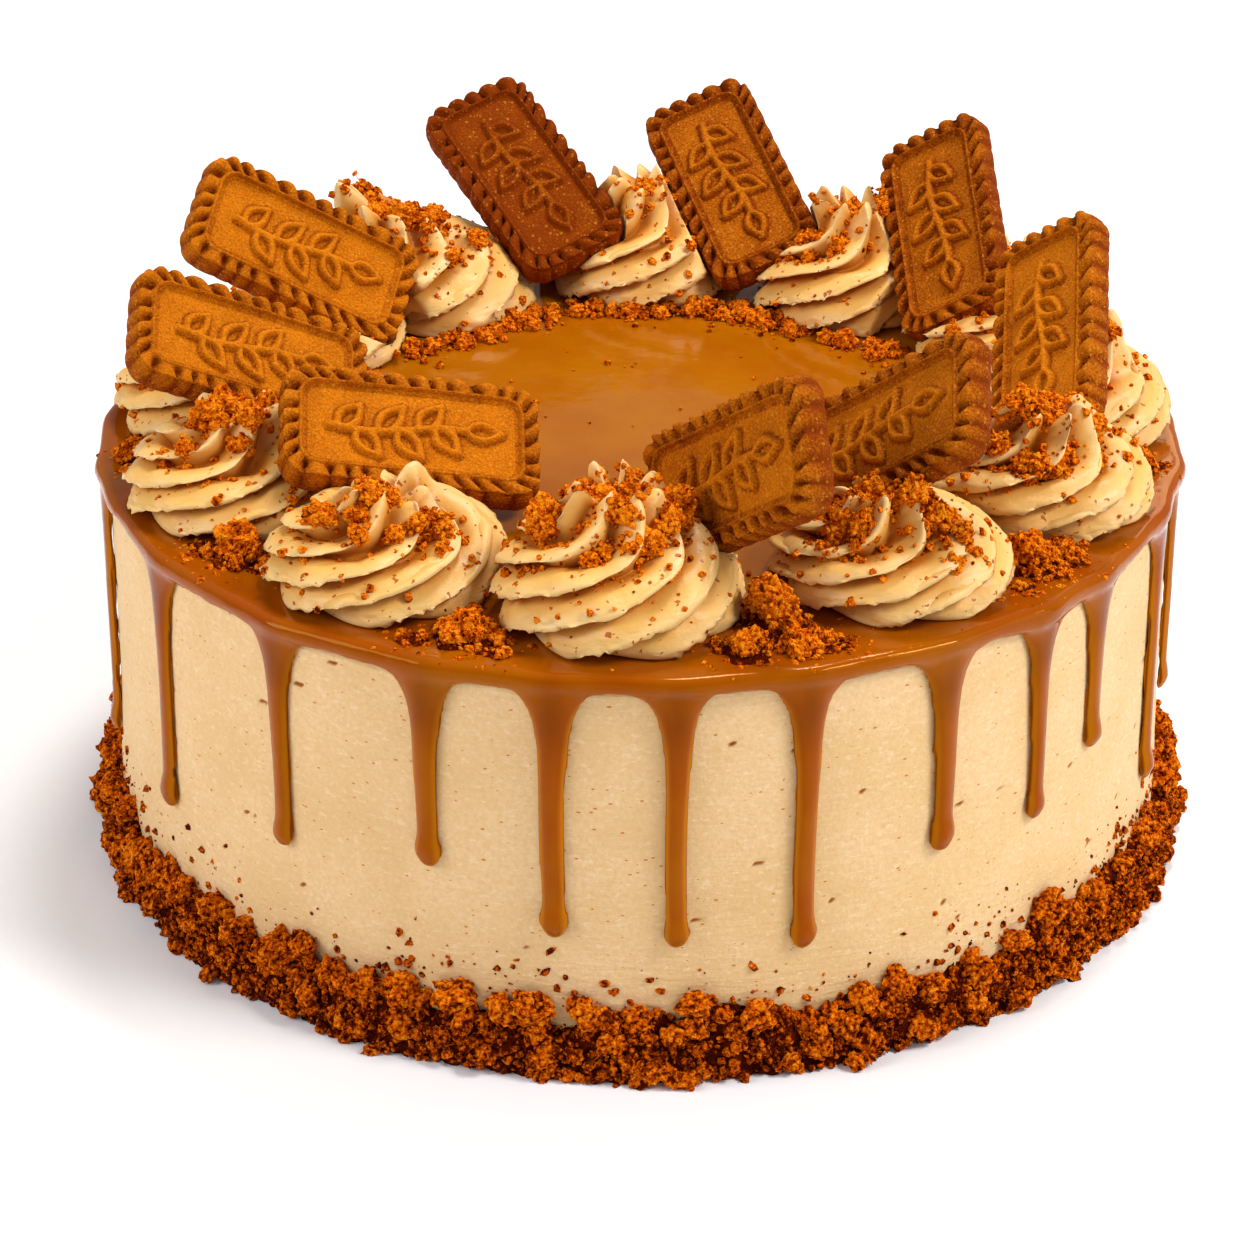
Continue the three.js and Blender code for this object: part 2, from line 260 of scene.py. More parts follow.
rng = np.random.default_rng(11)
heights = EDGE_START + EDGE_ROUND * np.sin(np.linspace(0.15, 1.57, 6))
heights = np.concatenate([np.arange(0, EDGE_START, 0.98), heights])
degrees = circle(COAT_COLUMNS)
zz, dd = np.meshgrid(heights, degrees, indexing="ij")
radius = side_radius(zz) - EDGE_ROUND * np.clip((zz - 91.0) / 1.6, 0, 1) ** 2
turn = np.radians(dd)
wave = 0.10 * np.sin(3 * turn + zz / 19) + 0.07 * np.sin(7 * turn - zz / 11 + 1)
wave += 0.05 * np.sin(zz / 2.3 + 1.5 * np.sin(2 * turn)) * np.sin(5 * turn + zz / 30)
slit_shade = np.zeros_like(wave)
for _ in range(SLITS):
    # A torn slit or a pin hole: a shallow dent, longer than it is high, with a low lip beside it.
    at, up = rng.uniform(0, 360), rng.uniform(24, 90)
    wide, tall = rng.uniform(0.9, 1.9), rng.uniform(0.6, 0.85)
    deep, lean = rng.uniform(0.25, 0.85), rng.uniform(-0.25, 0.1)
    rows = slice(*np.searchsorted(heights, [up - 3, up + 3]))
    across = np.radians(turn_from(at, degrees)) * SIDE_MEAN
    near = np.abs(across) < 8
    x, z = across[near][None, :], heights[rows][:, None] - up
    dent = np.exp(-((x / wide) ** 2) - ((z - lean * x) / tall) ** 2)
    lip = np.exp(-(((x + 1.7 * wide) / wide) ** 2) - ((z - 0.2) / 0.9) ** 2)
    wave[rows, near] += 0.3 * deep * lip - deep * dent
    # The deepest part of a deep dent is marked for painted shade.
    dent_shade = np.clip(dent * 2 - 0.8, 0, 1) * (deep > 0.5)
    slit_shade[rows, near] = np.maximum(slit_shade[rows, near], dent_shade)
radius = radius + wave * np.clip(zz / 3, 0, 1) * np.clip((92.4 - zz) / 2, 0, 1)
side = around(dd, radius, zz).reshape(-1, 3)
start = len(side)
points = np.concatenate([side, around(degrees, LID_RADIUS, CAKE_TOP), [[0, 0, CAKE_TOP], [0, 0, 0]]])
faces = ring_faces(len(heights), COAT_COLUMNS)
for i in range(COAT_COLUMNS):
    j = (i + 1) % COAT_COLUMNS
    edge = start - COAT_COLUMNS
    faces.append([edge + i, edge + j, start + j, start + i])
    faces.append([start + i, start + j, start + COAT_COLUMNS])
    faces.append([j, i, start + COAT_COLUMNS + 1])
coat = mesh_piece("buttercream_coat", points, faces, coat_finish)
carry(coat.data, "slit_shade", np.concatenate([slit_shade.ravel(), np.zeros(len(points) - start)]))
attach(coat, "root")
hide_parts("coated_cake")

# The caramel: warm biscuit caramel poured over the top. It levelled off, hung in a rounded rim at
# the edge and ran down the side in drips. Each drip starts wide, narrows to a thin stem and ends
# in a round bead. It is smooth, glossy and slightly see-through at its edges.
TOP = 96.4
FLAT_HALF = 1.75
RIM_RADIUS, RIM_HANG = 125.7, 94.3
DRIP_RADIUS = 127
CARAMEL = (0.29, 0.051, 0.0003)
CARAMEL_PALE_AND_LIT = (0.42, 0.145, 0.001)
CARAMEL_GOLD = (0.43, 0.135, 0.002)
CARAMEL_THICK_AND_SHADE = (0.13, 0.016, 0.0002)
# Each drip's direction in degrees from the front and the height of its lowest point.
DRIPS = [
    (-79.3, 25), (-56.7, 31.5), (-37.5, 39.6), (-20.6, 46.2), (-8.1, 32.6), (3.7, 30.7), (16.2, 28.1),
    (31, 44.7), (43.3, 42.4), (52.8, 51.5), (68.8, 25.5), (80.5, 36.2), (93, 47), (106.5, 29),
    (119, 41), (133, 33), (146.5, 52), (160, 38), (173, 27), (187, 44), (200.5, 31), (214, 50),
    (227.5, 36), (241, 26.5), (254, 43), (268, 34),
]
# The pool and the rim meet at this distance from the axis, under the swirls.
SEAM = 97.0


def soft_union(first, second, reach):
    """The larger of two depths, rounded where they meet."""
    share = np.clip(0.5 + 0.5 * (first - second) / reach, 0, 1)
    return second + (first - second) * share + reach * share * (1 - share)


def skin_over(depth, axes):
    """The surface where a sampled depth passes through 0: one point in each crossed cell."""
    inside = depth > 0
    size = [count - 1 for count in depth.shape]
    corners = [(i, j, k) for i in (0, 1) for j in (0, 1) for k in (0, 1)]
    filled = np.zeros(size, np.int8)
    for i, j, k in corners:
        filled += inside[i:i + size[0], j:j + size[1], k:k + size[2]]
    cells = np.argwhere((filled > 0) & (filled < 8))
    number = np.full(size, -1)
    number[tuple(cells.T)] = np.arange(len(cells))
    # A cell's point is the mean of the places where its edges cross the surface.
    total, hits = np.zeros((len(cells), 3)), np.zeros(len(cells))
    for corner in corners:
        for axis in range(3):
            if corner[axis]:
                continue
            step = np.eye(3, dtype=int)[axis]
            here, there = depth[tuple((cells + corner).T)], depth[tuple((cells + corner + step).T)]
            crossed = (here > 0) != (there > 0)
            share = np.where(crossed, here / np.where(crossed, here - there, 1), 0)
            point = cells + np.array(corner) + share[:, None] * step
            total += np.where(crossed[:, None], point, 0)
            hits += crossed
    spots = total / hits[:, None]
    # Each crossed edge gives a face between the four cells round it.
    faces = []
    for axis in range(3):
        one, two = (axis + 1) % 3, (axis + 2) % 3
        span = [slice(1, count) for count in size]
        span[axis] = slice(0, size[axis])
        starts = [part.start for part in span]
        here = inside[tuple(span)]
        span[axis] = slice(1, size[axis] + 1)
        edges = np.argwhere(here != inside[tuple(span)])
        outward = here[tuple(edges.T)]
        quad = []
        for shift_one, shift_two in ((1, 1), (0, 1), (0, 0), (1, 0)):
            cell = edges + np.array(starts)
            cell[:, one] -= shift_one
            cell[:, two] -= shift_two
            quad.append(number[tuple(cell.T)])
        quad = np.stack(quad, 1)
        quad[~outward] = quad[~outward][:, ::-1]
        faces.append(quad)
    placed = [np.interp(spots[:, n], np.arange(len(axes[n])), axes[n]) for n in range(3)]
    return np.stack(placed, 1), np.concatenate(faces)


caramel_finish, shader, where = food_finish(
    "caramel", Roughness=0.11, Subsurface_Weight=0.08, Subsurface_Scale=0.003,
    Subsurface_Radius=(1.0, 0.4, 0.08), Specular_Tint=(1.0, 0.5, 0.08, 1),
)
edge = carried(where, "edge")
cloud = ramp(noise(where, 28, 3), 0.35, 0.7) * 0.3
# Paler in random clouds, and painted light on faces that look up.
tone = blend(cloud + carried(where, "painted_top_light") * 0.35, CARAMEL, CARAMEL_PALE_AND_LIT)
tone = blend(ramp(edge, 0.35, 0.8) * 0.9, tone, CARAMEL_GOLD)
# Painted shade: a dark outline where the caramel faces fully sideways or down.
tone = blend(ramp(edge, 0.8, 0.98) * 0.75, tone, CARAMEL_THICK_AND_SHADE)
tone = blend(carried(where, "thick") * 0.6, tone, CARAMEL_THICK_AND_SHADE)
dulling = {"Value": edge, "From Min": 0.2, "From Max": 0.9, "To Min": 0.3, "To Max": 0.02}
gloss = field(where.tree, "ShaderNodeMapRange", dulling)
where.tree.links.new(gloss.socket, shader.inputs["Specular IOR Level"])
dress(shader, tone, noise(where, 14, 2) + noise(where, 5, 2) * 0.5, 0.16, 0.0015)

# The rim and the drips are sampled in turn, distance from the axis and height.
turns = np.arange(0, 922) * 2 * math.pi / 920
radii = [np.arange(SEAM - 3, 120, 2.2), np.arange(121, 125, 1.0), np.arange(125.2, 131.8, 0.55)]
levels = [np.arange(20.5, 56, 0.78), np.arange(56.4, 86, 1.0), np.arange(86.2, 98.6, 0.75)]
radii, levels = np.concatenate(radii), np.concatenate(levels)
tt, rr, zz = np.meshgrid(turns, radii, levels, indexing="ij", sparse=True)
hang = RIM_HANG + 0.5 * (np.sin(5 * tt + 1) + 0.7 * np.sin(11 * tt + 2) + 0.5 * np.sin(23 * tt))
rim_edge = RIM_RADIUS + 0.25 * np.sin(9 * tt + 1) + 0.2 * np.sin(19 * tt) + 0.12 * np.sin(41 * tt + 2)
for at, _ in DRIPS:
    # The caramel swells over the edge where a drip starts.
    across = np.radians(turn_from(at, np.degrees(tt))) * DRIP_RADIUS
    rim_edge = rim_edge + 1.1 * np.exp(-((across / 6.5) ** 2))
beside = np.clip(np.maximum(SEAM - rr, rr - rim_edge), 0, None)
flat = np.hypot(beside, zz - (TOP - FLAT_HALF)) - FLAT_HALF
drop_z = np.clip(zz, np.minimum(hang, TOP - FLAT_HALF), TOP - 1.9)
fall = np.hypot(rr - (rim_edge + 0.25), zz - drop_z) - 1.72
depth = soft_union(-flat, -fall, 1.2)
for number, (at, end) in enumerate(DRIPS):
    across = turn_from(at, np.degrees(tt))
    picked = np.flatnonzero(np.abs(across[:, 0, 0]) < 9)
    x = np.radians(across[picked]) * DRIP_RADIUS
    x = x - 0.25 * np.sin(zz / 9 + number) * np.clip((90 - zz) / 20, 0, 1)
    stem = 5.3 + 0.4 * math.sin(number * 2.1)
    bead = stem * 0.5 + 0.35
    knots = [end, end + 4, end + 10, 62, 70, 78, 84, 87, 89.5, 91.3, 92.6, 93.6, 97]
    widths = stem + np.array([0.2, 0.1, 0, 0.2, 0.6, 1.4, 3.0, 4.8, 7.6, 11, 15, 20, 26])
    width = np.interp(zz, sorted(knots), widths)
    thick = np.interp(zz, [end, end + 10, 80, 90, 96], [2.6, 2.35, 2.5, 2.7, 1.8])
    w = rr - side_radius(zz) + 0.15
    body = 1 - np.sqrt((2 * x / width) ** 2 + (w / thick) ** 2)
    body = body * np.minimum(thick, width / 2)
    body = np.minimum(body, zz - (end + 1.3 * bead))
    body = np.minimum(body, 95.2 - zz)
    ball = bead - np.sqrt(x**2 + (w * 1.05) ** 2 + ((zz - end) / 1.3 - bead) ** 2)
    depth[picked] = soft_union(depth[picked], soft_union(body, ball, 1.6), 1.8)
# Nothing of it lies inside the cake.
under = np.where(zz < CAKE_TOP + 0.15, rr - side_radius(np.minimum(zz, 90)) - 0.12, 9)
depth = np.minimum(depth, np.maximum(under, zz - CAKE_TOP - 0.15)).astype(np.float32)
spots, quads = skin_over(depth, [turns, radii, levels])
turn = spots[:, 0]
points = np.stack([spots[:, 1] * np.sin(turn), -spots[:, 1] * np.cos(turn), spots[:, 2]], 1)
rim = mesh_piece("caramel_rim_and_drips", points, quads.tolist(), caramel_finish)


def points_of(mesh, unit=MM):
    """The mesh's points in millimetres."""
    points = np.zeros(len(mesh.vertices) * 3, np.float32)
    mesh.vertices.foreach_get("co", points)
    return points.reshape(-1, 3).astype(float) / unit


def normals_of(mesh):
    """Which way the mesh faces at each of its points."""
    normals = np.zeros(len(mesh.vertices) * 3, np.float32)
    mesh.vertices.foreach_get("normal", normals)
    return normals.reshape(-1, 3)


def set_points(mesh, points):
    """Moves the mesh's points to places in millimetres."""
    mesh.vertices.foreach_set("co", (points * MM).astype(np.float32).ravel())
    mesh.update()


def finish_modifiers(made):
    """The modifiers' result as the piece's own mesh."""
    seen = made.evaluated_get(bpy.context.evaluated_depsgraph_get())
    mesh = bpy.data.meshes.new_from_object(seen)
    made.modifiers.clear()
    made.data = mesh
    return made


weld = rim.modifiers.new("weld", "WELD")
weld.merge_threshold = 0.00002
soften = rim.modifiers.new("soften", "SMOOTH")
soften.factor = 0.5
soften.iterations = 4
finish_modifiers(rim)
# It looks golden at the thin sides of a drip and dark in the thick middle below the rim; where it
# faces fully sideways or down it gets a painted dark outline, as shade.
facing = normals_of(rim.data).astype(float)
spots = points_of(rim.data)
away = spots[:, :2] / np.linalg.norm(spots[:, :2], axis=1)[:, None]
aside = facing[:, 0] * away[:, 1] - facing[:, 1] * away[:, 0]
side = np.hypot(aside, np.minimum(facing[:, 2], 0)) * np.clip((94.5 - spots[:, 2]) / 3, 0, 1)
turned = np.arctan2(spots[:, 0], -spots[:, 1])
thick = np.zeros(len(spots))
for at, _ in DRIPS:
    across = np.radians(turn_from(at, np.degrees(turned))) * DRIP_RADIUS
    thick = np.maximum(thick, np.exp(-((across / 3.4) ** 2) - ((spots[:, 2] - 86) / 8) ** 2))
carry(rim.data, "edge", side)
# Faces that look up carry painted light.
carry(rim.data, "painted_top_light", np.clip(facing[:, 2], 0, 1) ** 1.5)
carry(rim.data, "thick", thick)
# It set in soft waves: the outer skin swells and sinks a little along the rim and the drips.
swell = 0.24 * np.sin(26 * turned + 1.6 * np.sin(5 * turned) + spots[:, 2] / 3)
swell += 0.13 * np.sin(67 * turned - spots[:, 2] / 2 + 2 * np.sin(9 * turned))
swell += 0.10 * np.sin(spots[:, 2] / 4.3 + 3 * turned)
swell += 0.07 * np.sin(150 * turned + 4 * np.sin(13 * turned) + spots[:, 2])
outward = np.clip(facing[:, 0] * away[:, 0] + facing[:, 1] * away[:, 1], 0, 1)
reach = np.clip((np.linalg.norm(spots[:, :2], axis=1) - 112) / 10, 0, 1)
swell *= np.maximum(outward, np.clip(facing[:, 2], 0, 1) * reach)
set_points(rim.data, spots + facing * swell[:, None])
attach(rim, "root")
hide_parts("caramel_drip")

# Inside the ring of swirls the caramel lies flat, with a slow swell where it set.
POOL_COLUMNS = 240
rings = np.concatenate([np.linspace(0.4, SEAM - 0.6, 40), [SEAM + 0.4, SEAM + 0.6, SEAM - 0.5]])
rr, dd = np.meshgrid(rings, circle(POOL_COLUMNS), indexing="ij")
turn = np.radians(dd)
swell = 0.16 * np.sin(rr / 13 + 2 * np.sin(2 * turn)) + 0.12 * np.sin(3 * turn + rr / 21)
swell = swell * np.clip((SEAM - 8 - rr) / 20, 0, 1) * np.clip(rr / 25, 0, 1) ** 2
zz = TOP - 0.05 + swell
zz[-3:] = [[TOP - 0.3], [TOP - 1.7], [CAKE_TOP + 0.3]]
middles = [[0, 0, zz[0].mean()], [0, 0, CAKE_TOP + 0.3]]
points = np.concatenate([around(dd, rr, zz).reshape(-1, 3), middles])
faces = [face[::-1] for face in ring_faces(len(rings), POOL_COLUMNS)]
last = (len(rings) - 1) * POOL_COLUMNS
for i in range(POOL_COLUMNS):
    j = (i + 1) % POOL_COLUMNS
    faces.append([i, j, last + POOL_COLUMNS])
    faces.append([last + j, last + i, last + POOL_COLUMNS + 1])
pool = mesh_piece("caramel_pool", points, faces, caramel_finish)
# The whole pool carries the painted light of a face that looks up.
carry(pool.data, "painted_top_light", np.ones(len(points)))
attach(pool, "root")
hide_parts("caramel_drip")

# The biscuits: thin oblong spiced biscuits, pressed in a mould. The rim is a row of rounded ridges
# with a deep pocket behind each groove, then comes a fine raised frame and a sunk panel with a
# leafy sprig in relief. The bake is darker on the ridges and has a sandy, open grain. Painted shade
# darkens the grooves, the pockets and the sprig's foot, and painted light the sprig's top.
BISCUIT_LONG, BISCUIT_WIDE, BISCUIT_THICK, CORNER = 59.0, 30.5, 8.0, 6.5
PANEL_LONG, PANEL_WIDE, PANEL_CORNER, PANEL_HEIGHT = 49.5, 21.5, 4.0, 2.5
SHORT_SIDE, LONG_SIDE, CORNER_ARC = BISCUIT_WIDE - 2 * CORNER, BISCUIT_LONG - 2 * CORNER, 10.21
RIM_RIDGES = 32
# Each biscuit's middle, the direction of its length and the direction of its width.
BISCUITS = [
    ((-30.5, 94.3, 123.5), (0.532, -0.684, -0.499), (0.846, 0.448, 0.288)),
    ((23.8, 96.1, 121.8), (0.353, -0.785, -0.509), (0.909, 0.158, 0.386)),
    ((77, 62.4, 122.6), (0.073, -0.834, -0.547), (0.783, -0.292, 0.549)),
    ((95.6, -7.3, 122.6), (-0.082, -0.837, -0.541), (0.677, -0.446, 0.586)),
    ((53, -69.6, 124.6), (0.629, -0.491, 0.603), (0.045, 0.798, 0.601)),
    ((20.2, -89.8, 124.9), (0.535, -0.63, 0.563), (-0.093, 0.618, 0.781)),
    ((-51.2, -48.1, 114), (0.969, 0.166, -0.184), (-0.051, 0.86, 0.508)),
    ((-90.9, -13.2, 119), (0.857, 0.296, -0.422), (-0.03, 0.846, 0.533)),
    ((-84.1, 44.4, 122), (0.852, 0.146, -0.503), (0.224, 0.767, 0.602)),
]
BISCUIT_LIT = (0.78, 0.218, 0.004)
BISCUIT_BAKED_AND_SHADED = (0.25, 0.035, 0.0002)
SUGAR = (0.85, 0.33, 0.03)
# How much darker than the lightest each biscuit is coloured: partly its bake, partly painted shade
# for how the light falls on it.
BAKE_AND_SHADE = [1.05, 0.52, 0.45, 0.04, 0.24, 0.24, 0.0, 0.0, -0.06]
# The sprig's leaves: where each leaves the stem, to which side, and its length.
LEAVES = [
    (-16.5, 1, 7.6), (-12.6, -1, 8.2), (-7.6, 1, 8.8), (-3.4, -1, 8.6), (1.4, 1, 8.4), (5.4, -1, 7.8),
    (12.2, 0, 8.0),
]


def oblong(length, width, corner, shares):
    """Points and outward directions round an oblong, at shares of the way round a biscuit."""
    legs = np.array([SHORT_SIDE, CORNER_ARC, LONG_SIDE, CORNER_ARC] * 2)
    starts = np.concatenate([[0], np.cumsum(legs)]) / legs.sum()
    leg = np.clip(np.searchsorted(starts, shares, side="right") - 1, 0, 7)
    along = (shares - starts[leg]) / (starts[leg + 1] - starts[leg])
    a, b = length / 2 - corner, width / 2 - corner
    middles = np.array([[a, b], [-a, b], [-a, -b], [a, -b]])
    side = leg // 2
    facing = np.radians(side * 90 + np.where(leg % 2, along * 90, 0))
    out = np.stack([np.cos(facing), np.sin(facing)], -1)
    before = middles[(side + 3) % 4]
    straight = before + (middles[side] - before) * along[:, None]
    return np.where((leg % 2 == 1)[:, None], middles[side], straight) + out * corner, out


def sprig_relief(x, y):
    """How high the sprig stands at points of the panel, and where its foot is, for painted shade there."""
    bend = 1.3 * np.sin(x / 6.5)
    line = np.where((x > -19.5) & (x < 13), np.abs(y - bend) * 0.95, 9)
    for foot, side, long in LEAVES:
        tilt = math.radians(52 * side)
        dx, dy = x - foot, y - 1.3 * math.sin(foot / 6.5)
        forward = dx * math.cos(tilt) + dy * math.sin(tilt)
        aside = -dx * math.sin(tilt) + dy * math.cos(tilt)
        share = np.clip(forward / long, 0, 1)
        edge = 2.1 * np.sin(np.pi * share**0.85)
        beyond = np.hypot(forward - share * long, aside)
        within = (forward > 0) & (forward < long)
        line = np.minimum(line, np.where(within, np.abs(np.abs(aside) - edge), beyond))
    return 1.45 * np.clip(1 - (line / 1.05) ** 2, 0, 1) ** 0.6, np.exp(-(((line - 1.25) / 0.4) ** 2))


# All nine share one shape: rings of points from the middle of the back round the rim to the panel.
ACROSS, ALONG = 52, 106
columns = 2 * (ACROSS + ALONG)
sides = [(SHORT_SIDE + CORNER_ARC, ACROSS), (LONG_SIDE + CORNER_ARC, ALONG)] * 2
steps = np.concatenate([np.full(count, length / count) for length, count in sides])
shares = ((np.concatenate([[0], np.cumsum(steps)[:-1]]) - CORNER_ARC / 2) / steps.sum()) % 1
outer, outward = oblong(BISCUIT_LONG, BISCUIT_WIDE, CORNER, shares)
panel, _ = oblong(PANEL_LONG, PANEL_WIDE, PANEL_CORNER, shares)
uneven = 0.15 * np.sin(2 * math.pi * shares * 7) + 0.09 * np.sin(2 * math.pi * shares * 11 + 1)
half = BISCUIT_THICK / 2
rows = []


def ridge(shift):
    """0 on the crest of a ridge of the rim, 1 in the groove beside it."""
    place = (shares * RIM_RIDGES + uneven + shift) % 1
    return np.abs(2 * place - 1) ** 2.6


def add_row(spots, heights):
    rows.append(np.column_stack([spots, np.full(columns, heights)]))


for share in (0.35, 0.75):
    add_row(outer * share, -half)
rim_rows = [(-half, 1.5), (-half + 0.5, 0.7), (-half + 1.4, 0.25), (-2, 0.05), (-1, 0), (0, 0), (1, 0.1)]
for z, inset in rim_rows + [(1.9, 0.35), (2.7, 0.8)]:
    groove = ridge(0) * np.clip((z + half) / 3, 0.35, 1)
    add_row(outer - outward * (inset + 0.8 * groove)[:, None], z)
for k in np.linspace(0.10, 0.80, 11):
    between = outer * (1 - k) + panel * k
    arch = 1 - np.sin(np.pi * np.clip(k / 0.8, 0, 1) ** 0.75)
    dome = half - 0.9 * arch * (1 if k < 0.35 else 0.35)
    pocket = np.interp(k, [0, 0.2, 0.5, 0.74, 0.82], [1.3, 1.9, 2.7, 3.0, 1.3])
    between = between - outward * (0.8 * ridge(0) * (1 - k) ** 2)[:, None]
    add_row(between, dome - pocket * ridge(0.45 * k))
frame_rows = [(0.84, 3.35), (0.88, 3.75), (0.92, 3.9), (0.96, 3.8), (1.0, 3.35), (1.03, 2.85), (1.07, 2.55)]
for k, z in frame_rows:
    add_row(outer * (1 - k) + panel * k, z - (0.35 * ridge(0.36) if k < 0.86 else 0))
for inset in (0.9, 1.25):
    inner, _ = oblong(PANEL_LONG - 2 * inset, PANEL_WIDE - 2 * inset, PANEL_CORNER - inset, shares)
    add_row(inner, PANEL_HEIGHT)
# The panel's floor is a grid stretched between the four sides of its last ring.
first_turn, half_turn, third_turn = ACROSS, ACROSS + ALONG, 2 * ACROSS + ALONG
right, upper = inner[: first_turn + 1], inner[first_turn : half_turn + 1]
left, lower = inner[half_turn : third_turn + 1][::-1], np.concatenate([inner[third_turn:], inner[:1]])
u, v = np.linspace(0, 1, ALONG + 1)[None, :, None], np.linspace(0, 1, ACROSS + 1)[:, None, None]
upper, lower = upper[::-1][None], lower[None]
grid = (1 - v) * lower + v * upper + (1 - u) * left[:, None] + u * right[:, None]
grid = grid - (1 - u) * (1 - v) * left[0] - u * (1 - v) * right[0] - (1 - u) * v * left[-1]
grid = grid - u * v * right[-1]
grid = grid[1:-1, 1:-1].reshape(-1, 2)
raised, foot = sprig_relief(grid[:, 0], grid[:, 1])
front = np.array(rows).reshape(-1, 3)
first = len(front)
floor_points = np.column_stack([grid, PANEL_HEIGHT + raised])
biscuit_points = np.concatenate([front, floor_points, [[0, 0, -half]]])
biscuit_faces = ring_faces(len(rows), columns)
ring_start = (len(rows) - 1) * columns
number_of = np.zeros((ACROSS + 1, ALONG + 1), int)
number_of[:, -1] = ring_start + np.arange(first_turn + 1)
number_of[-1, ::-1] = ring_start + np.arange(first_turn, half_turn + 1)
number_of[::-1, 0] = ring_start + np.arange(half_turn, third_turn + 1)
number_of[0, :] = ring_start + np.arange(third_turn, columns + 1) % columns
number_of[1:-1, 1:-1] = first + np.arange(len(grid)).reshape(ACROSS - 1, ALONG - 1)
cells = [number_of[:-1, :-1], number_of[:-1, 1:], number_of[1:, 1:], number_of[1:, :-1]]
biscuit_faces += np.stack(cells, -1).reshape(-1, 4).tolist()
biscuit_faces += [[(i + 1) % columns, i, len(biscuit_points) - 1] for i in range(columns)]
# How far each ring of points is baked, light on the crests, with painted shade dark in the grooves
# and pockets.
ring_of = np.arange(len(rows)) - 2
crest_tone = np.interp(ring_of, [0, 6, 10, 18, 24, 27, 50], [0.8, 0.45, 0.1, 0.25, 0.1, 0.35, 0.15])
pocket_shade = np.interp(ring_of, [0, 6, 10, 14, 18, 21, 50], [0.7, 0.6, 0.5, 0.9, 1.2, 0.3, 0])
in_groove = np.array([ridge(0.45 * np.clip((row - 10) / 12, 0, 1)) for row in range(len(rows))])
in_groove[:3] = 0
bake_and_shade_rows = crest_tone[:, None] + pocket_shade[:, None] * in_groove

biscuit_finish, shader, where = food_finish(
    "spiced biscuit", Roughness=0.72, Specular_IOR_Level=0.12, Specular_Tint=(1.0, 0.6, 0.25, 1),
)
mottle = noise(where, 9, 3) * 0.3 + noise(where, 0.55, 3, 0.7) * 0.7
# The bake and the painted shade darken the colour.
tone = blend(carried(where, "bake_and_shade") * 0.75 + ramp(mottle, 0.38, 0.62) * 0.5, BISCUIT_LIT, BISCUIT_BAKED_AND_SHADED)
tone = blend(flecks(where, 0.9, 0.35, 0.5) * 0.35, tone, SUGAR)
pores = field(where.tree, "ShaderNodeTexVoronoi", {"Vector": where, "Scale": 1000 / 0.75}, "Distance")
dress(shader, tone, noise(where, 0.5, 3, 0.65) * 0.9 + pores * 0.3, 1.0, 0.0009)

sand = np.random.default_rng(5)
places = []
for number, (middle, along, across) in enumerate(BISCUITS, 1):
    x = Vector(along).normalized()
    y = Vector(across)
    y = (y - x * x.dot(y)).normalized()
    turn = np.array(Matrix((x, y, x.cross(y))))
    places.append((turn, np.array(Vector(middle))))
    points = biscuit_points.copy()
    points[:, 2] += 0.12 * np.sin(points[:, 0] / 7 + number) + 0.12 * np.sin(points[:, 1] / 5 - number)
    points[2 * columns : -1, 2] += sand.normal(0, 0.03, len(points) - 2 * columns - 1)
    points = points @ turn + np.array(middle)
    made = mesh_piece(f"spiced_biscuit_{number}", points, biscuit_faces, biscuit_finish)
    bake_and_shade = np.full(len(points), BAKE_AND_SHADE[number - 1])
    bake_and_shade[:first] += bake_and_shade_rows.ravel()
    # Painted shade round the foot of the sprig, and painted light on its raised top.
    bake_and_shade[first:-1] += 0.75 * foot - 0.15 * raised
    bake_and_shade[-1] += 0.8
    carry(made.data, "bake_and_shade", bake_and_shade)
    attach(made, "root")
    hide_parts(f"biscuit_{number}")

# The swirls: soft caramel-biscuit buttercream piped round the edge through a wide star tube. The
# tube leaves eight thick ridges that wind up round the swirl, each with a sharp lip that hangs over
# the ridge below; the tops fold into a hollow, and the pulled-off peak stands up in it as lobes.
CREAM_LIP_HIGHLIGHT = (0.81, 0.52, 0.195)
CREAM_FACE = (0.77, 0.405, 0.088)
CREAM_CREASE_SHADE = (0.52, 0.155, 0.004)
CREAM_FLECK = (0.42, 0.095, 0.002)
AIR = 0.35
# Seen from above, the nozzle set out this far round on every swirl.
FIRST_TURN = 20
# Swirls press each other flat, softly from the first of these distances and fully to the second.
SOFT_FROM, PRESSED_BACK = 2.2, 0.55
# No biscuit reaches further from its middle than this, and its room is cut up to CLEAR_ABOVE.
BISCUIT_REACH, CLEAR_ABOVE, ROOM_SIDES, ROOM_CORNER = 34, 30, 72, 6.0
# Each swirl's direction, distance from the axis, radius, height, turn, and lean in x and y.
SWIRLS = [
    (-2.8, 96, 27.2, 31, 0, 0, 0), (-34.2, 97, 27.3, 24, 15, 0, -1), (-66.2, 98, 28, 23.5, 34, 0, 1),
    (-94, 99.5, 26.8, 25, 8, -2, 0), (-119.5, 97, 26, 21.5, 25, -1, 2), (-144, 95.2, 29.5, 31, 40, -12, -3),
    (180, 94.5, 26.8, 30, 12, 0, 0), (144.6, 95, 26.6, 30, 30, 0, 0), (118.5, 104, 25.5, 26, 3, 5, 3),
    (91.5, 99.5, 27, 26, 20, 3, 2), (65.6, 98, 27.2, 27, 38, 1, -6), (34.5, 96.5, 27, 25, 10, -3, -6),
]
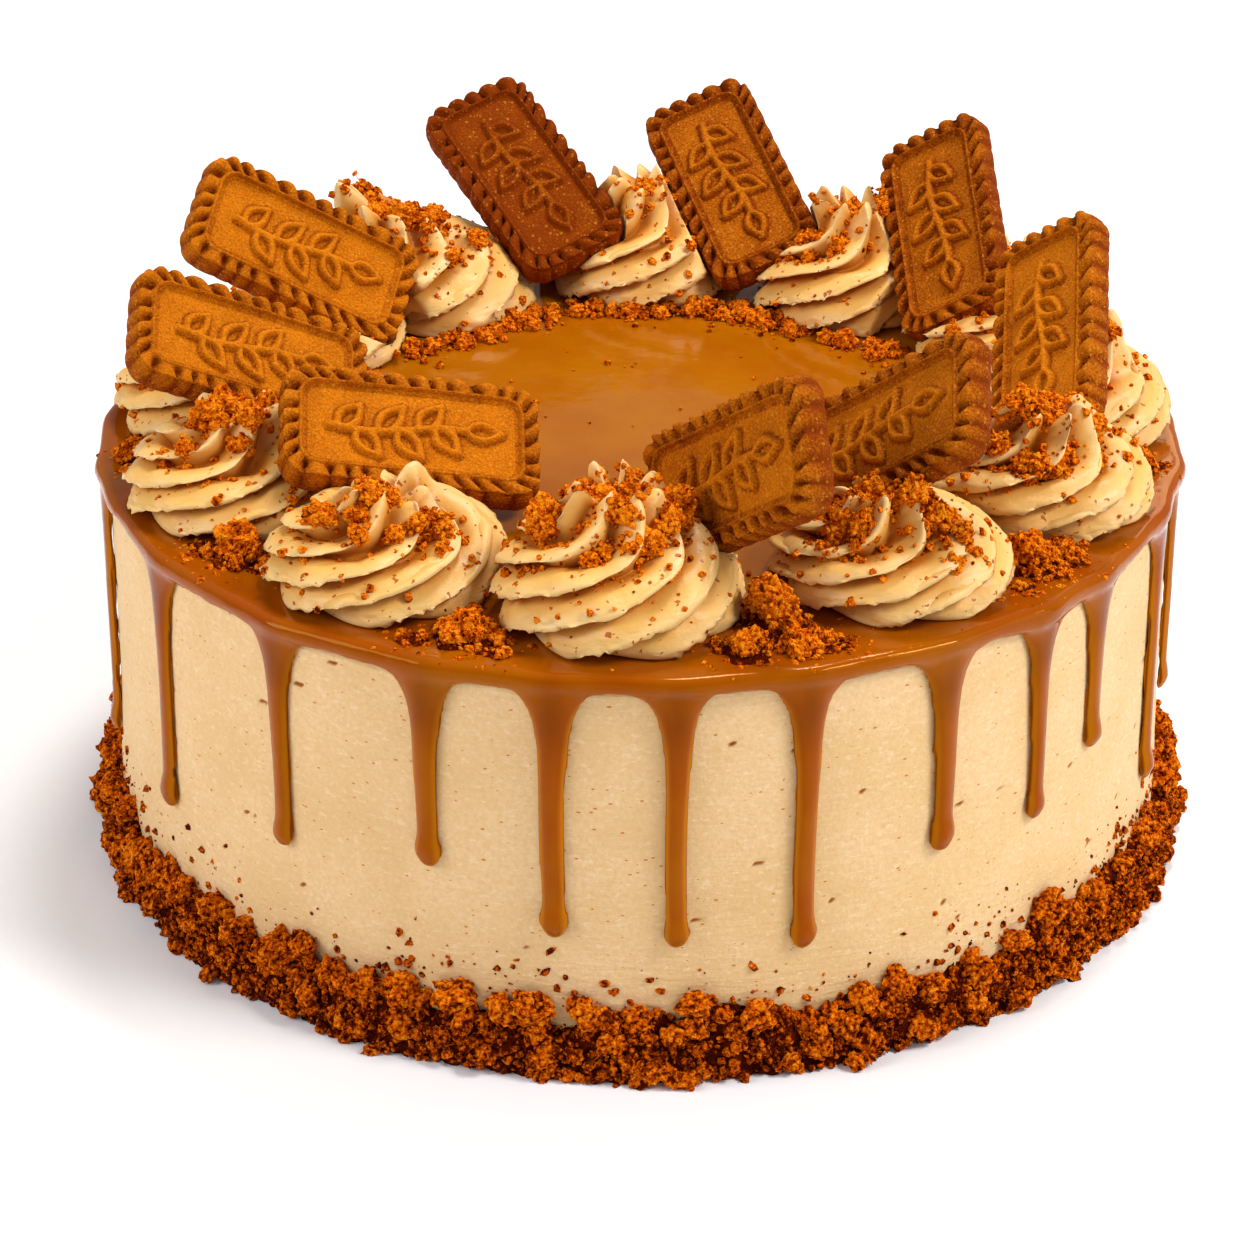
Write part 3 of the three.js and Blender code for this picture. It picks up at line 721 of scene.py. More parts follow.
# A swirl's outline: the share of the climb, and there the share of its radius and of its height.
OUTLINE = [
    (0, 0.86, 0), (0.05, 0.95, 0.05), (0.14, 1.0, 0.16), (0.28, 0.97, 0.34), (0.40, 0.87, 0.50),
    (0.50, 0.73, 0.61), (0.59, 0.58, 0.69), (0.67, 0.47, 0.79), (0.75, 0.39, 0.93), (0.82, 0.31, 1.0),
    (0.88, 0.21, 0.92), (0.94, 0.10, 0.80), (1, 0, 0.74),
]
# Cream stands in front of the face of these biscuits: (biscuit, swirl). Elsewhere the biscuit
# pushed it aside.
CREAM_IN_FRONT = {(3, 9), (4, 11), (5, 12), (6, 1), (7, 2), (8, 3)}


def parts_of(place):
    """The x, y and z of a place."""
    x = field(place.tree, "ShaderNodeSeparateXYZ", {"Vector": place})
    return x, x.also(1), x.also(2)


def together(x, y, z):
    """A place from its x, y and z."""
    return field(x.tree, "ShaderNodeCombineXYZ", {0: x, 1: y, 2: z})


def on_places(operation, *places, **named):
    """One sum on places."""
    inputs = {**dict(enumerate(places)), **named}
    return field(places[0].tree, "ShaderNodeVectorMath", inputs, operation=operation)


cream_finish, shader, where = food_finish(
    "piped buttercream", Roughness=0.42, Subsurface_Weight=0.04, Subsurface_Scale=0.003,
    Subsurface_Radius=(1.0, 0.6, 0.3), Specular_IOR_Level=0.35,
)
crease = carried(where, "crease")
wander = (noise(where, 12, 3) - 0.5) * 0.5
# Painted highlight near the lips, painted shade deep in the creases.
tone = blend(ramp(crease + wander, -0.1, 0.4), CREAM_LIP_HIGHLIGHT, CREAM_FACE)
tone = blend(ramp(crease, 0.3, 0.95) * 0.95, tone, CREAM_CREASE_SHADE)
ragged = noise(where, 1.6).also("Color")
astray = on_places("MULTIPLY_ADD", ragged, (0.0026, 0.0026, 0.0026), where)
specks = calc("MAXIMUM", flecks(astray, 1.7, 0.3, 0.3), flecks(astray, 2.8, 0.35, 0.26))
tone = blend(specks, tone, CREAM_FLECK)
dress(shader, tone, noise(where, 1.1, 3) + noise(where, 5, 2) * 0.6, 0.2, 0.0007)


def curve_of(value, knots):
    """A curve over 0 to 1, through given (place, height) knots."""
    made = field(value.tree, "ShaderNodeFloatCurve", {"Value": value})
    mapping = made.socket.node.mapping
    line = mapping.curves[0]
    line.points[0].location = knots[0]
    line.points[1].location = knots[-1]
    for knot in knots[1:-1]:
        line.points.new(*knot)
    mapping.update()
    return made


def new_tree(name, values):
    """A tree with named sizes, and the fields that they are inside it."""
    tree = bpy.data.node_groups.new(name, "GeometryNodeTree")
    for way in ("INPUT", "OUTPUT"):
        tree.interface.new_socket("Geometry", in_out=way, socket_type="NodeSocketGeometry")
    for label, value in values.items():
        kind = "NodeSocketInt" if isinstance(value, int) else "NodeSocketFloat"
        kind = "NodeSocketCollection" if isinstance(value, bpy.types.Collection) else kind
        socket = tree.interface.new_socket(label, in_out="INPUT", socket_type=kind)
        if kind != "NodeSocketCollection":
            socket.default_value = value
    given = tree.nodes.new("NodeGroupInput").outputs
    return tree, {label: Field(tree, given[label]) for label in ("Geometry", *values)}


def chance_of(tree, low, high, **inputs):
    """A random number at each point, between these two."""
    inputs = {2: low, 3: high, **inputs}
    return field(tree, "FunctionNodeRandomValue", inputs, 1, data_type="FLOAT")


def layer_of(tree, name):
    """The number that a mesh carries at each point, under a name."""
    return field(tree, "GeometryNodeInputNamedAttribute", {"Name": name}, data_type="FLOAT")


def placed(mesh, **how):
    """A mesh's points moved to a Position, or by an Offset."""
    return field(mesh.tree, "GeometryNodeSetPosition", {"Geometry": mesh, **how})


def end_tree(shapes, finish):
    """Ends a tree with real meshes in their finish."""
    real = field(shapes.tree, "GeometryNodeRealizeInstances", {"Geometry": shapes})
    dressed = field(shapes.tree, "GeometryNodeSetMaterial", {"Geometry": real, "Material": finish})
    shapes.tree.links.new(dressed.socket, shapes.tree.nodes.new("NodeGroupOutput").inputs[0])


def layered(mesh, name, value):
    """The mesh with a number at each point, under a name."""
    inputs = {"Geometry": mesh, "Name": name, "Value": value}
    return field(mesh.tree, "GeometryNodeStoreNamedAttribute", inputs, data_type="FLOAT", domain="POINT")


def grown(name, tree, values, base=None):
    """Runs a tree with the given sizes and returns the object with the result as a plain mesh."""
    made = add(name, base or bpy.data.meshes.new(name))
    growth = made.modifiers.new("growth", "NODES")
    growth.node_group = tree
    for item in tree.interface.items_tree:
        if item.name in values:
            value = values[item.name]
            growth[item.identifier] = float(value) if item.socket_type == "NodeSocketFloat" else value
    return finish_modifiers(made)


swirl_tree, size = new_tree("piped swirl", {
    "Radius": 27.0, "Height": 30.0, "Ridges": 8.0, "Groove": 6.2, "Twist": 2.9, "Turn": 0.0,
    "Lean X": 0.0, "Lean Y": 0.0, "Seed": 1.0, "Columns": 201, "Rows": 93,
})
sheet = field(swirl_tree, "GeometryNodeMeshGrid", {
    "Size X": 1.0, "Size Y": 1.0, "Vertices X": size["Columns"], "Vertices Y": size["Rows"],
})
spot = field(swirl_tree, "GeometryNodeInputPosition")
x, y, _ = parts_of(spot)
climb = y + 0.5
ring = (x + 0.5) * size["Ridges"]
whole = calc("FLOOR", ring + 0.0001)
part = calc("MAXIMUM", ring - whole, 0.0)
# More columns near the lip than on the face.
part = 1.0 - (1.0 - part) ** 1.5
key = calc("FLOORED_MODULO", whole, size["Ridges"]) + size["Seed"] * 31.0
taller = chance_of(swirl_tree, -1.0, 1.0, ID=key)
splayed = chance_of(swirl_tree, -1.0, 1.0, ID=key, Seed=5)
# Across one ridge the face swells out to the lip, then drops back under it.
swell = calc("MINIMUM", part / 0.82, 1.0) ** 1.25 * (1.0 - ramp(part, 0.83, 1.0))
sharp = swell ** 4.0
sunk = (1.0 - swell) * size["Groove"]
outline_r = curve_of(climb, [(up, out) for up, out, _ in OUTLINE])
outline_z = curve_of(climb, [(up, high) for up, _, high in OUTLINE])
winding = curve_of(climb, [
    (0, 0), (0.14, 0.14), (0.40, 0.55), (0.59, 0.82), (0.75, 0.93), (0.88, 0.97), (1, 1),
])
groove_out = curve_of(climb, [
    (0, 0.55), (0.1, 0.85), (0.3, 0.95), (0.45, 0.75), (0.6, 0.5), (0.72, 0.42), (0.80, 0.3), (0.9, 0.1),
    (1, 0),
])
groove_down = curve_of(climb, [
    (0, 0), (0.2, 0.05), (0.4, 0.3), (0.52, 0.7), (0.64, 0.88), (0.76, 0.9), (0.84, 0.85), (0.93, 0.3),
    (1, 0),
])
shelf = curve_of(climb, [(0, 0), (0.12, 1.0), (0.45, 0.9), (0.62, 0.3), (0.75, 0), (1, 0)])
crown = curve_of(climb, [(0, 0), (0.5, 0), (0.64, 0.35), (0.76, 0.95), (0.82, 1.0), (0.9, 0.5), (1, 0)])
overhang = sharp * shelf * 0.10 / size["Ridges"]
angle = ((whole + part) / size["Ridges"] + overhang) * (2 * math.pi)
angle = angle + winding * size["Twist"] + size["Turn"]
east, north = calc("COSINE", angle), calc("SINE", angle)
radius = outline_r * size["Radius"] - sunk * groove_out + crown * sharp * splayed * 1.6
# The first and last rows close to a point.
radius = calc("MAXIMUM", radius, 0.0) * calc("GREATER_THAN", climb * (1.0 - climb), 0.003)
rise = outline_z * size["Height"] - sunk * groove_down - sharp * shelf * 1.9
tilt = east * size["Lean X"] + north * size["Lean Y"]
rise = rise + crown * swell * (tilt * 0.5 + taller * 2.0 - 1.6)
rise = calc("MAXIMUM", rise, 0.0)
height_share = (rise / size["Height"]) ** 1.3
x = radius * east + height_share * size["Lean X"]
y = radius * north + height_share * size["Lean Y"]
# The lips and creases are carried in named layers, for the torn edge that follows and for the
# finish's painted highlight near the lips and painted shade in the creases.
lips = layered(sheet, "lip", sharp * (1.0 - ramp(climb, 0.05, 0.6)))
creases = layered(lips, "crease", (1.0 - swell) * ramp(climb, 0.02, 0.12))
shaped = placed(creases, Position=together(x, y, rise))
closed = field(swirl_tree, "GeometryNodeMergeByDistance", {"Geometry": shaped, "Distance": 0.02})
moved = on_places("ADD", spot, together(size["Seed"], size["Seed"] * 2.7, size["Seed"]))
slow = field(swirl_tree, "ShaderNodeTexNoise", {"Vector": moved, "Scale": 0.09, "Detail": 1.0}, "Fac")
quick = field(swirl_tree, "ShaderNodeTexNoise", {"Vector": moved, "Scale": 0.72, "Detail": 2.0}, "Fac")
push = (slow - 0.5) * 3.4 + (quick - 0.5) * layer_of(swirl_tree, "lip") * 4.4
push = push * ramp(parts_of(spot)[2], 0.0, 1.5)
out = on_places("SCALE", field(swirl_tree, "GeometryNodeInputNormal"), Scale=push)
end_tree(placed(closed, Offset=out), cream_finish)


def biscuit_room(number, above):
    """A block where a biscuit stands, with the air round it, reaching above its face."""
    shares = (np.arange(ROOM_SIDES) + 0.5) / ROOM_SIDES
    outline, _ = oblong(BISCUIT_LONG + 2 * AIR, BISCUIT_WIDE + 2 * AIR, ROOM_CORNER, shares)
    levels = (-half - AIR, half + AIR + above)
    points = np.concatenate([np.column_stack([outline, np.full(ROOM_SIDES, z)]) for z in levels])
    bottom, lid = list(range(ROOM_SIDES))[::-1], list(range(ROOM_SIDES, 2 * ROOM_SIDES))
    faces = ring_faces(2, ROOM_SIDES) + [bottom, lid]
    turn, middle = places[number - 1]
    return mesh_piece("room", points @ turn + middle, faces, cream_finish)


swirls = []
for number, (degrees, distance, radius, height, turn, lean_x, lean_y) in enumerate(SWIRLS, 1):
    made = grown(f"piped_swirl_{number:02d}", swirl_tree, {
        "Radius": radius, "Height": height, "Turn": math.radians(turn + FIRST_TURN), "Lean X": lean_x,
        "Lean Y": lean_y, "Seed": 3.7 * number,
    })
    middle = around(degrees, distance, TOP + AIR)
    points = points_of(made.data, unit=1) + middle
    for neighbour in (SWIRLS[number - 2], SWIRLS[number % len(SWIRLS)]):
        # Pressed flat against the next swirl, softly from a little way off.
        away = turn_from(degrees, neighbour[0])
        border = around(degrees + away / 2, 1.0, 0.0)
        normal = np.array([-border[1], border[0], 0]) * np.sign(away)
        over = points @ normal + AIR / 2
        soft = PRESSED_BACK * np.clip((over + SOFT_FROM) / SOFT_FROM, 0, None) ** 2
        back = np.where(over > 0, over + PRESSED_BACK, soft)
        points -= np.outer(np.where(over > -SOFT_FROM, back, 0), normal)
    set_points(made.data, points)
    for biscuit, (spot, _, _) in enumerate(BISCUITS, 1):
        if math.hypot(spot[0] - middle[0], spot[1] - middle[1]) > radius + BISCUIT_REACH:
            continue
        room = biscuit_room(biscuit, 0 if (biscuit, number) in CREAM_IN_FRONT else CLEAR_ABOVE)
        cut = made.modifiers.new("room", "BOOLEAN")
        cut.operation = "DIFFERENCE"
        cut.solver = "MANIFOLD"
        cut.object = room
        finish_modifiers(made)
        bpy.data.objects.remove(room)
    shade(made.data, True)
    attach(made, "root")
    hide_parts(f"cream_swirl_{number:02d}")
    swirls.append(made)

# The crumbs: the same biscuit broken up by hand. Big porous lumps and fine grains are heaped
# against the foot of the cake, lie between the swirls and inside their ring, and stick to the
# cream. Every crumb is rough: grains baked together, with a painted highlight on their tips and
# painted shade in the pits and hollows, weaker on the crumbs on top.
CRUMB_TIP_HIGHLIGHT = (1.0, 0.3, 0.008)
CRUMB_MID = (0.76, 0.115, 0.0006)
CRUMB_HOLLOW_SHADE = (0.085, 0.006, 0.0001)
CRUMBS_OF_A_KIND = 6
# No crumb reaches lower than this, just above the cake's foot.
LOWEST = 0.02

crumb_finish, shader, where = food_finish(
    "biscuit crumb", Roughness=0.8, Specular_IOR_Level=0.05, Specular_Tint=(1.0, 0.6, 0.25, 1),
)
pits = {"Vector": where, "Scale": 1000 / 1.15, "Detail": 1.0, "Roughness": 0.6}
pitted = field(where.tree, "ShaderNodeTexVoronoi", pits, "Distance") + noise(where, 0.9, 3, 0.65) * 0.9
patch = (noise(where, 4.5, 2) - 0.5) * 0.6
# Painted shade in the hollows and pits, painted highlight on the tips of the grains.
crumb_shade = carried(where, "hollow_shade") * 0.6 + (pitted * 0.55 + patch)
tone = blend(ramp(crumb_shade, 0.40, 0.74), CRUMB_TIP_HIGHLIGHT, CRUMB_MID)
dress(shader, blend(ramp(crumb_shade, 0.6, 1.03), tone, CRUMB_HOLLOW_SHADE), 1.0 - pitted, 1.0, 0.0010)


def grain_of(point, seed):
    """Bumps of baked-together grains: about 1 on a grain, about 0 between them."""
    nearest = noises.voronoi(point + Vector((seed, seed * 1.3, -seed)))[0]
    return max(0.0, 1.0 - 1.15 * nearest[0])


def crumb_shape(name, splits, grains, seed):
    """One crumb of radius 1 mm; the finer ones are only knobbly."""
    ball = bmesh.new()
    bmesh.ops.create_icosphere(ball, subdivisions=splits, radius=1.0)
    chance = np.random.default_rng(int(10 * seed))
    stretch = Vector(chance.uniform(0.7, 1.15, 3))
    hollow_shades = []
    for corner in ball.verts:
        way = corner.co.normalized()
        if splits < 3:
            corner.co = way * (0.9 * chance.uniform(0.6, 1.25)) * stretch
            hollow_shades.append(chance.uniform(0, 0.3))
            continue
        broad = noises.noise(way * 1.6 + Vector((seed, 0, 0)))
        knob = grain_of(way * grains, seed)
        fine = grain_of(way * grains * 2.3, seed + 9)
        corner.co = way * (0.66 + 0.42 * broad + 0.42 * knob + 0.2 * fine) * stretch
        # Painted shade between the grains.
        hollow_shades.append(min(1.0, max(0.0, 0.9 - 1.2 * knob - 0.6 * fine)))
    mesh = bpy.data.meshes.new(name)
    ball.to_mesh(mesh)
    ball.free()
    mesh.transform(Matrix.Scale(MM, 4))
    shade(mesh, False)
    carry(mesh, "hollow_shade", hollow_shades)
    return bpy.data.objects.new(name, mesh)


def crumb_kind(name, splits, grains, seed):
    """Crumbs of one kind, kept together for a tree to pick from."""
    kind = bpy.data.collections.new(name + "s")
    for n in range(CRUMBS_OF_A_KIND):
        kind.objects.link(crumb_shape(f"{name}_{n}", splits, grains, seed + n))
    return kind


lumps = crumb_kind("lump", 4, 2.6, 3.1)
chips = crumb_kind("chip", 3, 1.9, 13.7)
grains = crumb_kind("grain", 2, 1.2, 23.3)
bits = crumb_kind("bit", 1, 1.2, 31.9)

scatter_tree, size = new_tree("scattered crumbs", {
    "Shapes": grains, "Per square cm": 10.0, "Smallest": 0.5, "Largest": 1.5, "Lift": 0.3,
    "Small share": 2.0, "Seed": 1,
})
density = size["Per square cm"] * 10000.0 * layer_of(scatter_tree, "dusted")
spots = field(scatter_tree, "GeometryNodeDistributePointsOnFaces", {
    "Mesh": size["Geometry"], "Density": density, "Seed": size["Seed"],
}, "Points")
chance = chance_of(scatter_tree, 0.0, 1.0, Seed=size["Seed"]) ** size["Small share"]
scale = size["Smallest"] + chance * (size["Largest"] - size["Smallest"])
lifted = on_places("SCALE", spots.also("Normal"), Scale=scale * size["Lift"] * MM)
shapes = field(scatter_tree, "GeometryNodeCollectionInfo", {
    "Collection": size["Shapes"], "Separate Children": True, "Reset Children": True,
})
any_way = {0: (0.0, 0.0, 0.0), 1: (6.28, 6.28, 6.28), "Seed": size["Seed"]}
tumbled = field(scatter_tree, "FunctionNodeRandomValue", any_way, data_type="FLOAT_VECTOR")
laid = field(scatter_tree, "GeometryNodeInstanceOnPoints", {
    "Points": placed(spots, Offset=lifted), "Instance": shapes, "Pick Instance": True,
    "Rotation": tumbled, "Scale": scale,
})
end_tree(laid, crumb_finish)


def scatter(ground, dusted, shapes, per_cm2, sizes, lift, small_share, seed):
    """Crumbs over a piece; dusted says how thickly they lie at each of its points."""
    mesh = ground.data.copy()
    if "dusted" in mesh.attributes:
        mesh.attributes.remove(mesh.attributes["dusted"])
    carry(mesh, "dusted", dusted)
    return grown("crumbs", scatter_tree, {
        "Shapes": shapes, "Per square cm": per_cm2, "Smallest": sizes[0], "Largest": sizes[1],
        "Lift": lift, "Small share": small_share, "Seed": seed,
    }, mesh)


def laid_crumb(kind, number, spot, big, spin):
    """One crumb placed at a given spot."""
    body = kind.objects[number % CRUMBS_OF_A_KIND].data.copy()
    tumble = Matrix.Rotation(spin * 1.7, 4, "Z") @ Matrix.Rotation(spin * 2.9, 4, "X")
    place = Matrix.Translation(Vector(spot) * MM) @ tumble
    body.transform(place @ Matrix.Diagonal((big, big, big * 0.92, 1)))
    body.materials.append(crumb_finish)
    return add("crumb", body)


def rough_bed(points, faces, deep):
    """A mesh of packed crumbs, its points pushed along their normals into grains and hollows, with painted
    shade in the hollows.
    """
    bed = mesh_piece("bed", points, faces, crumb_finish)
    normals = normals_of(bed.data)
    moved, hollow_shades = np.array(points, float), []
    for i, spot in enumerate(moved):
        at = Vector(spot)
        knob = 0.45 * grain_of(at * 0.22, 4.4) + 0.35 * grain_of(at * 0.5, 9.1)
        knob += 0.2 * grain_of(at * 0.95, 2.3)
        moved[i] += normals[i] * deep * (knob - 0.4)
        hollow_shades.append(min(1.0, max(0.0, 1.35 - 1.8 * knob)))
    carry(bed.data, "hollow_shade", hollow_shades)
    set_points(bed.data, moved)
    return bed


def crumb_piece(name, parts, share=1.0, less=0.0):
    """Joins crumbs into one piece; share and less weaken the painted shade in their hollows."""
    piece = parts[0]
    if len(parts) > 1:
        chosen = {"active_object": piece, "object": piece}
        with bpy.context.temp_override(**chosen, selected_objects=parts, selected_editable_objects=parts):
            bpy.ops.object.join()
    piece.name = name
    piece.data.name = name
    points = points_of(piece.data)
    if points[:, 2].min() < LOWEST:
        points[:, 2] = np.maximum(points[:, 2], LOWEST)
        set_points(piece.data, points)
    layer = piece.data.attributes["hollow_shade"].data
    hollow_shades = np.zeros(len(layer), np.float32)
    layer.foreach_get("value", hollow_shades)
    layer.foreach_set("value", hollow_shades * share - less)
    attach(piece, "root")
    return piece


# Round the foot: a packed bank, lumps standing up along its top and grains all over it.
BANK_COLUMNS = 1200
BANK_HEIGHT, BANK_DEPTH = 13.6, 4.2
degrees = circle(BANK_COLUMNS)
turn = np.radians(degrees)
top = BANK_HEIGHT + 2.0 * np.sin(13 * turn) * np.sin(5 * turn + 1)
top = top + 1.6 * np.sin(31 * turn + 2) + 1.0 * np.sin(57 * turn)
inside = side_radius(0) + 0.3
profile = [around(degrees, inside, 0.0), around(degrees, inside, top * 0.5)]
for k in np.linspace(0, 1, 33):
    bow = math.sin(k * math.pi / 2)
    height = top * (1 - k) ** 0.9
    out = side_radius(height) + 0.1 + BANK_DEPTH * bow ** 0.7 + 0.5 * np.sin(17 * turn + 9 * k)
    profile.append(around(degrees, out, height))
last = (len(profile) - 1) * BANK_COLUMNS
faces = [face[::-1] for face in ring_faces(len(profile), BANK_COLUMNS)]
for i in range(BANK_COLUMNS):
    j = (i + 1) % BANK_COLUMNS
    faces.append([i, j, last + j, last + i])
points = np.array(profile).reshape(-1, 3)
bank = crumb_piece("crumb_bank", [rough_bed(points, faces, 3.4)])
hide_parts("crumb_border")
level = np.arange(len(points)) // BANK_COLUMNS
on_face = ((level >= 2) & (level < len(profile) - 1)).astype(float)
big_ones = []
at = 0.0
while at < 358:
    height = np.interp(at, degrees, top) + rng.uniform(-1.6, 1.6) + (3.5 if rng.random() < 0.1 else 0)
    spot = around(at, side_radius(height) + 1.8, height)
    big_ones.append(laid_crumb(lumps, len(big_ones), spot, rng.uniform(3.2, 4.9), at))
    at += rng.uniform(3.0, 7.0)
crumb_piece("crumb_bank_lumps", big_ones, 0.8, 0.13)
crumb_piece("crumb_bank_chips", [
    scatter(bank, on_face * (level < 13), chips, 1.1, (1.8, 3.4), 0.3, 1.0, 3),
    scatter(bank, on_face, chips, 1.9, (1.5, 3.4), 0.3, 1.1, 8),
    scatter(bank, on_face * (level > 27), chips, 2.0, (1.2, 2.4), 0.8, 1.2, 9),
], 0.9, 0.08)
crumb_piece("crumb_bank_grains", [
    scatter(bank, on_face, grains, 2.2, (0.9, 2.0), 0.5, 1.3, 5),
    scatter(bank, on_face, bits, 30.0, (0.55, 1.4), 0.6, 1.2, 6),
])

# A little dust has stuck to the coat above the bank.
spots = points_of(coat.data)
turn = np.arctan2(spots[:, 0], -spots[:, 1])
patchy = 0.55 + 0.45 * np.sin(9 * turn + 1) * np.sin(4 * turn)
height = spots[:, 2]
dust = np.where((height > 15) & (height < 46), np.exp(-(height - 18) / 4), 0) * patchy
crumb_piece("crumb_dust_on_coat", [scatter(coat, dust, bits, 26.0, (0.3, 1.7), -0.1, 2.2, 21)])

# Heaps on the caramel: (angle, distance, radius, height). First the ones between the swirls, then
# the trail that runs round inside the ring.
HEAPS = [
    (-51, 113.5, 8, 4.5), (-54.5, 118.5, 4.5, 2.5), (-46.5, 113, 4, 1.6), (-18.2, 115, 8, 4.2),
    (-23, 120, 4.5, 1.2), (-14.8, 120, 4, 1.2), (11, 117.5, 7, 3.6), (14.8, 108, 8, 9),
    (17.5, 118.5, 6.5, 3.2), (20.5, 120.5, 3.5, 1.2), (48.5, 113.5, 8, 5.5), (52.5, 117, 6, 3.2),
    (44, 119.5, 4, 1.0), (78, 118, 7, 3.4), (104.5, 119, 7, 3.2), (131, 116, 7, 3.4), (162, 115, 7, 3.6),
    (198, 115, 7, 3.2), (228, 117, 7, 3.4), (253, 118, 7, 3.4), (280, 118, 7, 3.6),
    (-127, 69.5, 4, 2.2), (-136, 67, 5, 2.2), (-144, 67, 4, 1.8), (-152, 67.5, 4.5, 2.2),
    (-160, 71, 4.5, 2.4), (-168, 72, 4.5, 2.2), (-176, 69.5, 4, 1.8), (176, 69.5, 4, 1.8),
    (168.5, 72.5, 5, 2.6), (160, 72, 5, 2.6), (152, 70, 4, 1.8), (145, 69.5, 3.5, 1.6),
    (135, 71.5, 4.5, 2.0), (126, 74.5, 5, 2.4), (114, 74, 4, 1.8), (103, 73, 4.5, 2.0),
    (90, 71.5, 4, 1.6), (77, 71.5, 4, 1.8), (-108, 71, 4, 1.8), (-96, 73, 4, 1.6),
    (-80, 71.5, 4, 1.6), (-64, 70, 3.5, 1.4),
]
RING_OF_SWIRLS = 80
HEAP_COLUMNS = 44


def sideways(away, spin, high):
    """A step of this length in a direction, in radians, and up."""
    return np.array([away * math.cos(spin), away * math.sin(spin), high])


def thick_near_heaps(piece):
    """How thickly fine crumbs lie on top of a piece: thickest round the heaps."""
    spots = points_of(piece.data)
    thick = np.zeros(len(spots))
    for at, out, wide, _ in HEAPS:
        away = np.hypot(*(spots[:, :2] - around(at, out, 0.0)[:2]).T)
        thick += np.exp(-((away / (wide * 1.35)) ** 2))
    return np.where(spots[:, 2] > TOP - 0.6, np.clip(thick, 0, 1) + 0.012, 0)


beds, big_ones = [], []
for number, (at, out, wide, tall) in enumerate(HEAPS):
    middle = around(at, out, TOP - 0.5)
    steps = max(5, int(wide * 1.5))
    turn = np.radians(circle(HEAP_COLUMNS))
    edge = wide * (1 + 0.16 * np.sin(3 * turn + number) + 0.12 * np.sin(5 * turn + 2 * number))
    crown = 0.4 * tall + 0.5
    points = [middle + np.array([0, 0, crown])]
    for k in np.linspace(1 / steps, 1, steps):
        height = np.full(HEAP_COLUMNS, crown * (1 - k**2.4))
        points.extend(middle + np.column_stack([edge * k * np.cos(turn), edge * k * np.sin(turn), height]))
    points.append(middle)
    faces = [face[::-1] for face in ring_faces(steps, HEAP_COLUMNS, 1)]
    last = 1 + (steps - 1) * HEAP_COLUMNS
    for i in range(HEAP_COLUMNS):
        j = (i + 1) % HEAP_COLUMNS
        faces.append([0, 1 + i, 1 + j])
        faces.append([last + j, last + i, last + HEAP_COLUMNS])
    beds.append(rough_bed(np.array(points), faces, 1.3))
    for n in range(3 if out < RING_OF_SWIRLS else 0):
        spin = 2.1 * n + 1.3 * number
        spot = middle + sideways(wide * 0.7, spin, 1.4)
        big_ones.append(laid_crumb(chips, number + n, spot, rng.uniform(2.0, 3.6), spin))
    for n in range(0 if wide < 5.5 else int(3.5 + tall / 1.5)):
        away = rng.uniform(0.1, 0.75) * wide * (n > 0)
        spin = 2.4 * n + number
        big = rng.uniform(1.8, 3.3) + (2.0 if n == 0 and wide > 7.5 else 0)
        high = max(tall * (1 - (away / wide) ** 2) * 0.8, big * 0.55)
        big_ones.append(laid_crumb(lumps, number + n, middle + sideways(away, spin, high), big, spin))
heaps = crumb_piece("crumb_heaps", beds, 1.0, 0.12)
uppermost = (points_of(heaps.data)[:, 2] > TOP - 0.2).astype(float)
fallen = scatter(heaps, uppermost, chips, 2.6, (1.0, 2.8), 0.35, 1.4, 31)
crumb_piece("crumb_heap_lumps", big_ones + [fallen], 0.6, 0.22)
crumb_piece("crumb_heap_grains", [
    scatter(rim, thick_near_heaps(rim), bits, 24.0, (0.4, 1.7), 0.4, 2.2, 41),
    scatter(pool, thick_near_heaps(pool), bits, 24.0, (0.4, 1.7), 0.4, 2.2, 42),
    scatter(heaps, uppermost, bits, 22.0, (0.5, 1.4), 0.5, 1.6, 43),
], 1.0, 0.2)

# Clumps stuck to the swirls: for each swirl, (x, y, size) from its middle.
CLUMPS = [
    [(-3, 0, 4.0), (3, 3, 3.6), (-15, -1, 4.2), (-8, 6, 3.2), (12, 3, 4.4), (7, -9, 3.6), (-5, -13, 2.6),
     (11, -5, 3.0)],
    [(-13, -9, 3.2), (3, -12, 2.4), (9, -5, 2.4), (-4, -15, 2.0), (-3, -5, 3.0), (13, -9, 2.2)],
    [(-7, -3, 3.8), (3, -8, 3.2), (6, 2, 3.0), (-1, 3, 3.4), (-12, -9, 2.2)],
    [(-4, 3, 2.8), (8, -6, 2.6)],
    [(4, -3, 3.2), (-9, 0, 2.6), (9, 6, 2.6)],
    [(-10, -4, 4.2), (-3, -8, 3.6), (-15, 2, 3.2), (2, 3, 3.0), (8, -12, 2.6), (14, -4, 2.4)],
    [(2, -3, 2.8), (11, -3, 2.4), (-9, -6, 2.4), (15, -10, 2.0)],
    [(-2, -2, 3.2), (-12, -6, 2.8), (8, 2, 2.6), (-5, -12, 2.2)],
    [(-8, -10, 4.0), (-3, -4, 3.2), (5, 4, 2.6)],
    [(-12, -12, 3.8), (2, 6, 3.2), (10, -4, 2.8)],
    [(0, -6, 5.2), (-5, -9, 3.4), (9, 3, 4.6), (12, -5, 2.8), (-4, -17, 2.8), (5, -13, 2.8),
     (-10, -14, 3.0), (-8, -3, 3.4), (4, -1, 3.2)],
    [(-4, -2, 5.0), (0, -7, 3.8), (7, -9, 4.2), (-12, -13, 3.4), (3, -12, 3.0), (-7, -15, 3.2),
     (11, -3, 2.6), (14, -12, 2.2)],
]
ABOVE_ALL = 200
clump_parts, cream_grains = [], []
